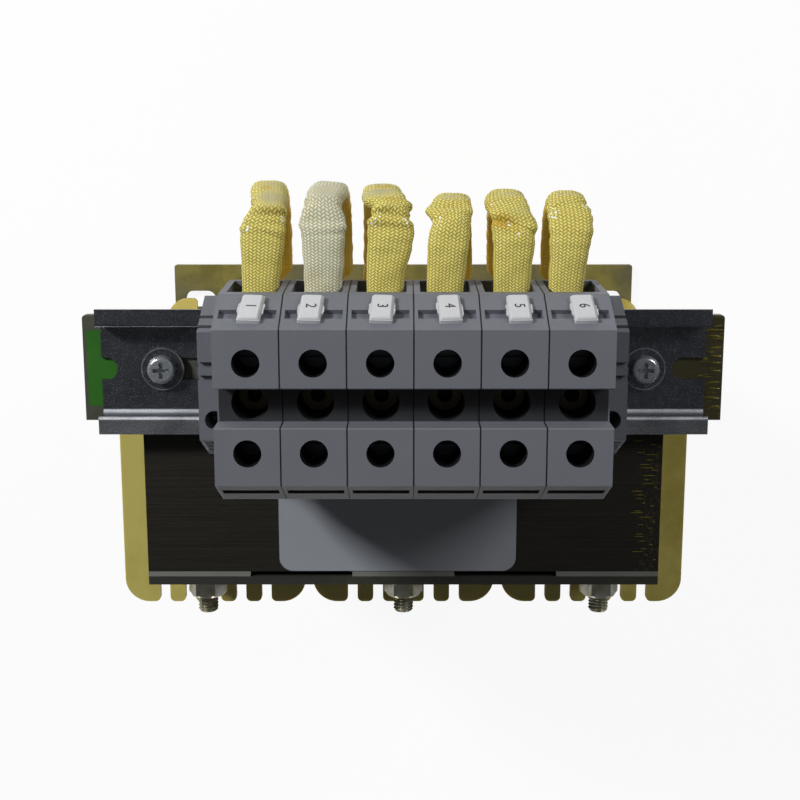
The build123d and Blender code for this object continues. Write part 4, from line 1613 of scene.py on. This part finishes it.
@dataclass
class LeadSet:
    """The six leads in braided sleeves, with the bare ends in the clamps."""

    half_girth: float = 7.3
    thickness: float = 5.0
    thinnest: float = 1.3
    thickest: float = 2.9
    inside: float = 7.0
    wire_edge: float = 0.2
    cells_around: int = 28
    around_points: int = 3
    along_points: int = 2
    cell_length: float = 0.77
    braid_depth: float = 0.17
    strained_loss: float = 0.6
    squareness: float = 2.7
    section_steps: int = 721
    corner: float = 0.8
    crest_play: float = 0.5
    far_run: float = 27.0
    root_run: float = 4.0
    root_reach: float = 17.0
    burn_start: float = 44.0
    burn_softness: float = 5.0
    burn_far: float = 0.45
    last_phase: float = 6.28
    seed: int = 5

    def build(self) -> None:
        """Makes the sleeves and dresses the wire ends."""
        dress("wire_ends", TINNED_COPPER.material(), self.wire_edge)
        braids = {finish.tint: finish.material() for finish in BRAIDS}
        for lead in LEADS:
            self.add_sleeve(lead, braids[lead.tint])

    def route(self, lead: Lead) -> np.ndarray:
        """Control points of a lead's middle, from inside its terminal to its coil, seen from the side.

        Args:
            lead: The lead.

        Returns:
            The points, in millimetres. Their places along X are those of the lead's terminal and coil.
        """
        sleeve = node_box(f"lead_sleeve_{lead.number}")
        mouth = node_box(f"terminal_body_{lead.number}").high.y
        coil = node_box("winding_2").high.y
        top = sleeve.high.z - self.thickness / 2
        bottom = sleeve.low.z + self.thickness / 2
        reach = sleeve.high.y - self.thickness / 2 - self.crest_play
        root = coil + self.root_reach
        # Each point is a place along Y and a height. It is counted from the mouth of the terminal, the
        # crest of the loop, its root on the flange or the coil, where the photo or the solids give that.
        side = (
            (mouth - self.inside, top),
            (mouth - 2.0, top),
            (mouth + 3.0, top),
            (reach - 11.0, top + 0.2),
            (reach - 4.5, top - 0.8),
            (reach + 0.4, top - 7.0),
            (reach + 0.2, top - 20.0),
            (reach - 1.5, top - 34.0),
            (reach - 6.0, top - 50.0),
            (reach - 16.0, bottom + 12.0),
            (root + 3.0, bottom + 2.0),
            (root - 3.0, bottom),
            (coil + 8.0, bottom),
            (coil + 3.0, bottom),
            (coil - 1.0, bottom),
        )
        return np.array([(0.0, y, z) for y, z in side])

    def outline(self, lead: Lead, along: np.ndarray, length: float) -> tuple[np.ndarray, np.ndarray]:
        """Where a sleeve's middle lies along X, and its half width, at each place along it.

        Args:
            lead: The lead.
            along: The places, counted from the mouth.
            length: The place where it enters its coil.

        Returns:
            The middle's places and the half widths, with soft corners between the stations.
        """
        middle = node_box(f"terminal_body_{lead.number}").middle.x
        half = lead.stations[0].half
        far = Station(length - self.far_run, lead.far_shift, half)
        last = Station(length - self.root_run, lead.exit_x - middle, half)
        stations = (*lead.stations, far, last)
        places = [station.along for station in stations]
        step = along[1] - along[0]
        reach = np.arange(-3 * self.corner, 3 * self.corner + step, step)
        weights = np.exp(-((reach / self.corner) ** 2))
        weights /= weights.sum()
        pad = len(weights) // 2
        lines = []
        for values in ([s.shift for s in stations], [s.half for s in stations]):
            line = np.interp(along, places, values)
            padded = np.concatenate([np.full(pad, line[0]), line, np.full(len(weights) - 1 - pad, line[-1])])
            lines.append(np.convolve(padded, weights, "valid"))
        return lines[0] + middle, lines[1]

    def add_sleeve(self, lead: Lead, material: bpy.types.Material) -> None:
        """Adds one braided sleeve with its braid in the mesh.

        Args:
            lead: The lead.
            material: Its material.
        """
        random = np.random.default_rng(self.seed + lead.number)
        step = self.cell_length / self.along_points
        centre, length = evenly(smooth_curve(self.route(lead)), step)
        along = np.arange(len(centre)) * step - self.inside
        tangent = np.gradient(centre, axis=0)
        tangent /= np.linalg.norm(tangent, axis=1)[:, None]
        normal = np.cross(np.array([1.0, 0.0, 0.0]), tangent)
        bend = np.linalg.norm(np.gradient(tangent, axis=0), axis=1) / step
        centre[:, 0], half = self.outline(lead, along, length - self.inside)
        thick = np.clip(self.half_girth - half, self.thinnest, self.thickest)
        columns = self.cells_around * self.around_points
        shape = self.section(columns)
        outward = self.outward(shape)
        around = np.arange(columns) / self.around_points
        side = shape[None, :, 0]
        strained = self.spread(lead.strained, along, side)
        relief = braid_height(around[None, :], (along / self.cell_length)[:, None]) - 0.5
        offset = relief * self.braid_depth * (1 - self.strained_loss * np.clip(strained, 0, 1))
        offset += self.crumple(along, around[None, :], bend, random)
        offset += self.folds(lead, along, side) * np.clip(shape[None, :, 1] * 2, 0, 1)
        across = shape[None, :, 0] * half[:, None] + outward[None, :, 0] * offset
        lift = shape[None, :, 1] * thick[:, None] + outward[None, :, 1] * offset
        rings = centre[:, None, :] + normal[:, None, :] * lift[:, :, None]
        rings[:, :, 0] += across
        mesh = self.sleeve_mesh(f"braided_sleeve_{lead.number}", rings)
        self.store(mesh, "bleach", strained)
        # Painted glints: white specks, mostly at the kinks' corners, that stand for highlights on the
        # varnish.
        self.store(mesh, "fleck", self.spread(lead.flecks, along, side))
        past = (along[:, None] - self.burn_start) / self.burn_softness
        far_side = self.burn_far / (1 + np.exp(-past))
        self.store(mesh, "burn", self.spread(lead.stained, along, side) + far_side)
        add_piece(mesh, material, [f"lead_sleeve_{lead.number}"], smooth=180)

    @staticmethod
    def spread(marks: Sequence[Mark], along: np.ndarray, side: np.ndarray) -> np.ndarray:
        """How strongly marks show at each point of a sleeve.

        Args:
            marks: The marks.
            along: Place along the lead for each row.
            side: Place across it for each column.

        Returns:
            The sum of the marks.
        """
        total = np.zeros((len(along), side.shape[1]))
        for mark in marks:
            lengthwise = ((along[:, None] - mark.along) / mark.length) ** 2
            crosswise = ((side - mark.side) / mark.width) ** 2
            total += np.exp(-lengthwise - crosswise) * mark.strength
        return total

    @staticmethod
    def folds(lead: Lead, along: np.ndarray, side: np.ndarray) -> np.ndarray:
        """Height of a lead's creases: a valley with a raised lip beyond it.

        Args:
            lead: The lead.
            along: Place along the lead for each row.
            side: Place across it for each column.

        Returns:
            The shift out of the surface, in millimetres.
        """
        total = np.zeros((len(along), side.shape[1]))
        for crease in lead.creases:
            away = along[:, None] - crease.along - crease.slant * side
            lip = 0.7 * np.exp(-((away - 1.3) ** 2))
            valley = np.exp(-((away / 0.55) ** 2))
            total += crease.depth * (lip - valley)
        return total

    def section(self, columns: int) -> np.ndarray:
        """The sleeve's flattened section, evenly divided.

        Args:
            columns: Points round it.

        Returns:
            Points of a rounded oblong with half sizes of 1.
        """
        angle = np.linspace(0, 2 * math.pi, self.section_steps)
        power = 2 / self.squareness
        x = np.sign(np.cos(angle)) * np.abs(np.cos(angle)) ** power
        y = np.sign(np.sin(angle)) * np.abs(np.sin(angle)) ** power
        half = self.half_girth - self.thickness / 2
        run = np.concatenate([[0], np.cumsum(np.hypot(np.diff(x * half), np.diff(y * self.thickness / 2)))])
        places = np.linspace(0, run[-1], columns, endpoint=False)
        return np.stack([np.interp(places, run, x), np.interp(places, run, y)], axis=1)

    def outward(self, shape: np.ndarray) -> np.ndarray:
        """Directions out of the section at its points.

        Args:
            shape: Points of the section, with half sizes of 1.

        Returns:
            A direction for each point, of length 1.
        """
        real = shape * np.array([self.half_girth - self.thickness / 2, self.thickness / 2])
        run = np.roll(real, -1, axis=0) - np.roll(real, 1, axis=0)
        run /= np.linalg.norm(run, axis=1)[:, None]
        return np.stack([run[:, 1], -run[:, 0]], axis=1)

    def crumple(
        self, along: np.ndarray, around: np.ndarray, bend: np.ndarray, random: np.random.Generator
    ) -> np.ndarray:
        """Slow unevenness of the sleeve, and small folds where it bends.

        Args:
            along: Place along the lead for each row.
            around: Place round the sleeve for each column, in braid cells.
            bend: How sharply each row bends, in turns per millimetre.
            random: Source of the folds' places.

        Returns:
            The shift out of the surface for each point, in millimetres.
        """
        angle = around / self.cells_around * 2 * math.pi
        place = along[:, None]
        total = 0 * place * angle
        for _ in range(6):
            phase, turn = random.uniform(0, self.last_phase), random.uniform(0, self.last_phase)
            wave, lobes = random.uniform(5.0, 16.0), random.integers(1, 4)
            total += np.sin(place * 2 * math.pi / wave + phase) * np.cos(lobes * angle + turn) * 0.06
        sharp = np.clip(bend / bend.max(), 0, 1)[:, None]
        for _ in range(3):
            phase, wave = random.uniform(0, self.last_phase), random.uniform(2.2, 4.2)
            total += np.sin(place * 2 * math.pi / wave + phase + np.cos(angle) * 0.8) * 0.13 * sharp
        return total

    def sleeve_mesh(self, name: str, rings: np.ndarray) -> bpy.types.Mesh:
        """Turns a sleeve's rings into a mesh with braid coordinates.

        Args:
            name: The mesh's name.
            rings: Its rings of points.

        Returns:
            The mesh, closed at both ends.
        """
        rows, columns = rings.shape[:2]
        row, column = np.meshgrid(np.arange(rows - 1), np.arange(columns), indexing="ij")
        after = (column + 1) % columns
        low, high = row * columns, (row + 1) * columns
        quads = np.stack([low + column, low + after, high + after, high + column], axis=-1).reshape(-1, 4)
        caps = [list(range(columns))[::-1], [(rows - 1) * columns + n for n in range(columns)]]
        mesh = bpy.data.meshes.new(name)
        mesh.from_pydata((rings.reshape(-1, 3) * MM).tolist(), [], quads.tolist() + caps)
        places = np.stack([column, column + 1, column + 1, column], axis=-1) / self.around_points
        start = self.inside / self.cell_length
        heights = np.stack([row, row, row + 1, row + 1], axis=-1) / self.along_points - start
        flat = np.stack([places, heights], axis=-1).reshape(-1)
        layer = mesh.uv_layers.new(name=BRAID_MAP)
        values = np.zeros(len(mesh.loops) * 2, np.float32)
        values[: flat.size] = flat
        layer.data.foreach_set("uv", values)
        mesh.update()
        return mesh

    @staticmethod
    def store(mesh: bpy.types.Mesh, name: str, values: np.ndarray) -> None:
        """Stores a value at each point of a mesh, for its material to read."""
        layer = mesh.attributes.new(name, "FLOAT", "POINT")
        layer.data.foreach_set("value", values.astype(np.float32).ravel())


def braid_height(around: np.ndarray, along: np.ndarray) -> np.ndarray:
    """Height of a braid in which each strand passes over two and under two.

    Args:
        around: Place round the sleeve, in cells.
        along: Place along the sleeve, in cells.

    Returns:
        The height, from 0 in the gaps to 1 on the strands' crowns.
    """
    first, second = around + along, around - along
    state = np.mod(np.floor(first) + np.floor(second), 4)
    over = state < 2
    side = np.where(over, first - np.floor(first), second - np.floor(second)) - 0.5
    run = np.where(over, state + second - np.floor(second), state - 2 + first - np.floor(first))
    return (1 - 4 * side**2) * (0.4 + 0.6 * np.sin(run * math.pi / 2))


def smooth_curve(points: np.ndarray, steps: int = 40) -> np.ndarray:
    """A smooth line that follows control points, and starts and ends on the outer ones.

    Args:
        points: The control points.
        steps: Points for each stretch.

    Returns:
        Points along a clamped cubic spline.
    """
    padded = np.concatenate([points[:1] * 2 - points[1:2], points, points[-1:] * 2 - points[-2:-1]])
    line = []
    for n in range(len(padded) - 3):
        for t in np.linspace(0, 1, steps, endpoint=False):
            shares = ((1 - t) ** 3, 3 * t**3 - 6 * t**2 + 4, -3 * t**3 + 3 * t**2 + 3 * t + 1, t**3)
            line.append(sum(share * point for share, point in zip(shares, padded[n : n + 4])) / 6)
    return np.array(line)


def evenly(line: np.ndarray, step: float) -> tuple[np.ndarray, float]:
    """Spaces a line's points evenly.

    Args:
        line: The line's points.
        step: The spacing.

    Returns:
        The new points, and the line's length.
    """
    run = np.concatenate([[0], np.cumsum(np.linalg.norm(np.diff(line, axis=0), axis=1))])
    places = np.arange(0, run[-1], step)
    return np.stack([np.interp(places, run, line[:, axis]) for axis in range(3)], axis=1), float(run[-1])


@dataclass(frozen=True)
class Lamp:
    """A soft square light that faces the reactor, in millimetres and watts."""

    name: str
    place: tuple[float, float, float]
    size: float
    watts: float

    def add(self, aim: Vector) -> None:
        """Adds the light.

        Args:
            aim: Where it points, in metres.
        """
        lamp = bpy.data.lights.new(self.name, "AREA")
        lamp.size = self.size * MM
        lamp.energy = self.watts
        light = bpy.data.objects.new(self.name, lamp)
        light.location = Vector(self.place) * MM
        light.rotation_euler = (aim - light.location).to_track_quat("-Z", "Y").to_euler()
        bpy.context.scene.collection.objects.link(light)


LAMPS = (
    Lamp("key", (-770.0, 600.0, 760.0), 190.0, 12.6),
    Lamp("fill", (770.0, 600.0, 780.0), 380.0, 5.4),
    Lamp("front", (-150.0, -900.0, 110.0), 300.0, 2.2),
)


@dataclass
class Studio:
    """The camera at the photo's viewing angle, the soft lights and the pale floor."""

    camera_y: float = 100.36
    camera_z: float = 511.9
    tilt: float = 10.83
    focal_pixels: float = 1294.4
    frame_pixels: float = 800.0
    axis_x: float = 403.35
    axis_y: float = 388.5
    sensor: float = 36.0
    clip: tuple[float, float] = (0.01, 20.0)
    aim: tuple[float, float, float] = (0.0, 20.0, 100.0)
    surround: float = 0.07
    floor_glow: float = 0.92
    floor_reach: float = 4000.0
    floor_drop: float = 0.2

    def build(self) -> None:
        """Sets up the camera, the lights, the world and the floor."""
        self.add_camera()
        for lamp in LAMPS:
            lamp.add(Vector(self.aim) * MM)
        self.set_world()
        self.add_floor()
        bpy.context.scene.view_settings.view_transform = "Standard"

    def add_camera(self) -> None:
        """Adds the camera."""
        lens = bpy.data.cameras.new("camera")
        lens.sensor_width = self.sensor
        lens.lens = self.sensor * self.focal_pixels / self.frame_pixels
        lens.shift_x = (self.frame_pixels / 2 - self.axis_x) / self.frame_pixels
        lens.shift_y = (self.axis_y - self.frame_pixels / 2) / self.frame_pixels
        lens.clip_start, lens.clip_end = self.clip
        camera = bpy.data.objects.new("camera", lens)
        camera.location = (0.0, self.camera_y * MM, self.camera_z * MM)
        camera.rotation_euler = (-math.radians(self.tilt), 0.0, 0.0)
        bpy.context.scene.collection.objects.link(camera)
        bpy.context.scene.camera = camera

    def set_world(self) -> None:
        """Sets an even pale surround."""
        world = bpy.data.worlds.new("surround")
        world.use_nodes = True
        nodes = world.node_tree.nodes
        background = nodes["Background"]
        background.inputs["Color"].default_value = (1.0, 1.0, 1.0, 1.0)
        strength = nodes.new("ShaderNodeMapRange")
        strength.inputs["To Min"].default_value = self.surround
        seen = nodes.new("ShaderNodeLightPath").outputs["Is Camera Ray"]
        world.node_tree.links.new(seen, strength.inputs["Value"])
        world.node_tree.links.new(strength.outputs[0], background.inputs["Strength"])
        bpy.context.scene.world = world

    def add_floor(self) -> None:
        """Adds the plain pale floor, which shows white to the camera and keeps the shadow."""
        reach, drop = self.floor_reach * MM, self.floor_drop * MM
        mesh = bpy.data.meshes.new("floor")
        corners = [(-reach, -reach), (reach, -reach), (reach, reach), (-reach, reach)]
        mesh.from_pydata([(x, y, -drop) for x, y in corners], [], [(0, 1, 2, 3)])
        tree = ShaderTree("floor_paper")
        seen = Value(tree, tree.node("ShaderNodeLightPath").outputs["Is Camera Ray"])
        grain = tree.noise(0.02, 2.0)
        tree.surface(
            Base_Color=tree.mix(grain * 0.2, (0.86, 0.86, 0.86), (0.84, 0.84, 0.84)),
            Roughness=0.9,
            Specular_IOR_Level=0.1,
            Emission_Color=(1.0, 1.0, 1.0),
        )
        glow = tree.node("ShaderNodeEmission", None, {"Color": (1.0, 1.0, 1.0), "Strength": 1.0}).outputs[0]
        lit = tree.shader.outputs[0]
        both = tree.node("ShaderNodeMixShader", None, {0: seen * self.floor_glow, 1: lit, 2: glow}).outputs[0]
        tree.links.new(both, tree.output.inputs["Surface"])
        mesh.materials.append(tree.material)
        floor = bpy.data.objects.new("floor", mesh)
        bpy.context.scene.collection.objects.link(floor)


def main() -> None:
    """Builds the studio and each sub-assembly in order."""
    logging.basicConfig(level=logging.INFO, format="%(name)s: %(message)s")
    for assembly in (Studio, Core, Frame, Fasteners, Coils, TerminalRow, MarkerTags, LeadSet):
        LOG.info("building %s", assembly.__name__)
        assembly().build()


if __name__ == "__main__":
    main()
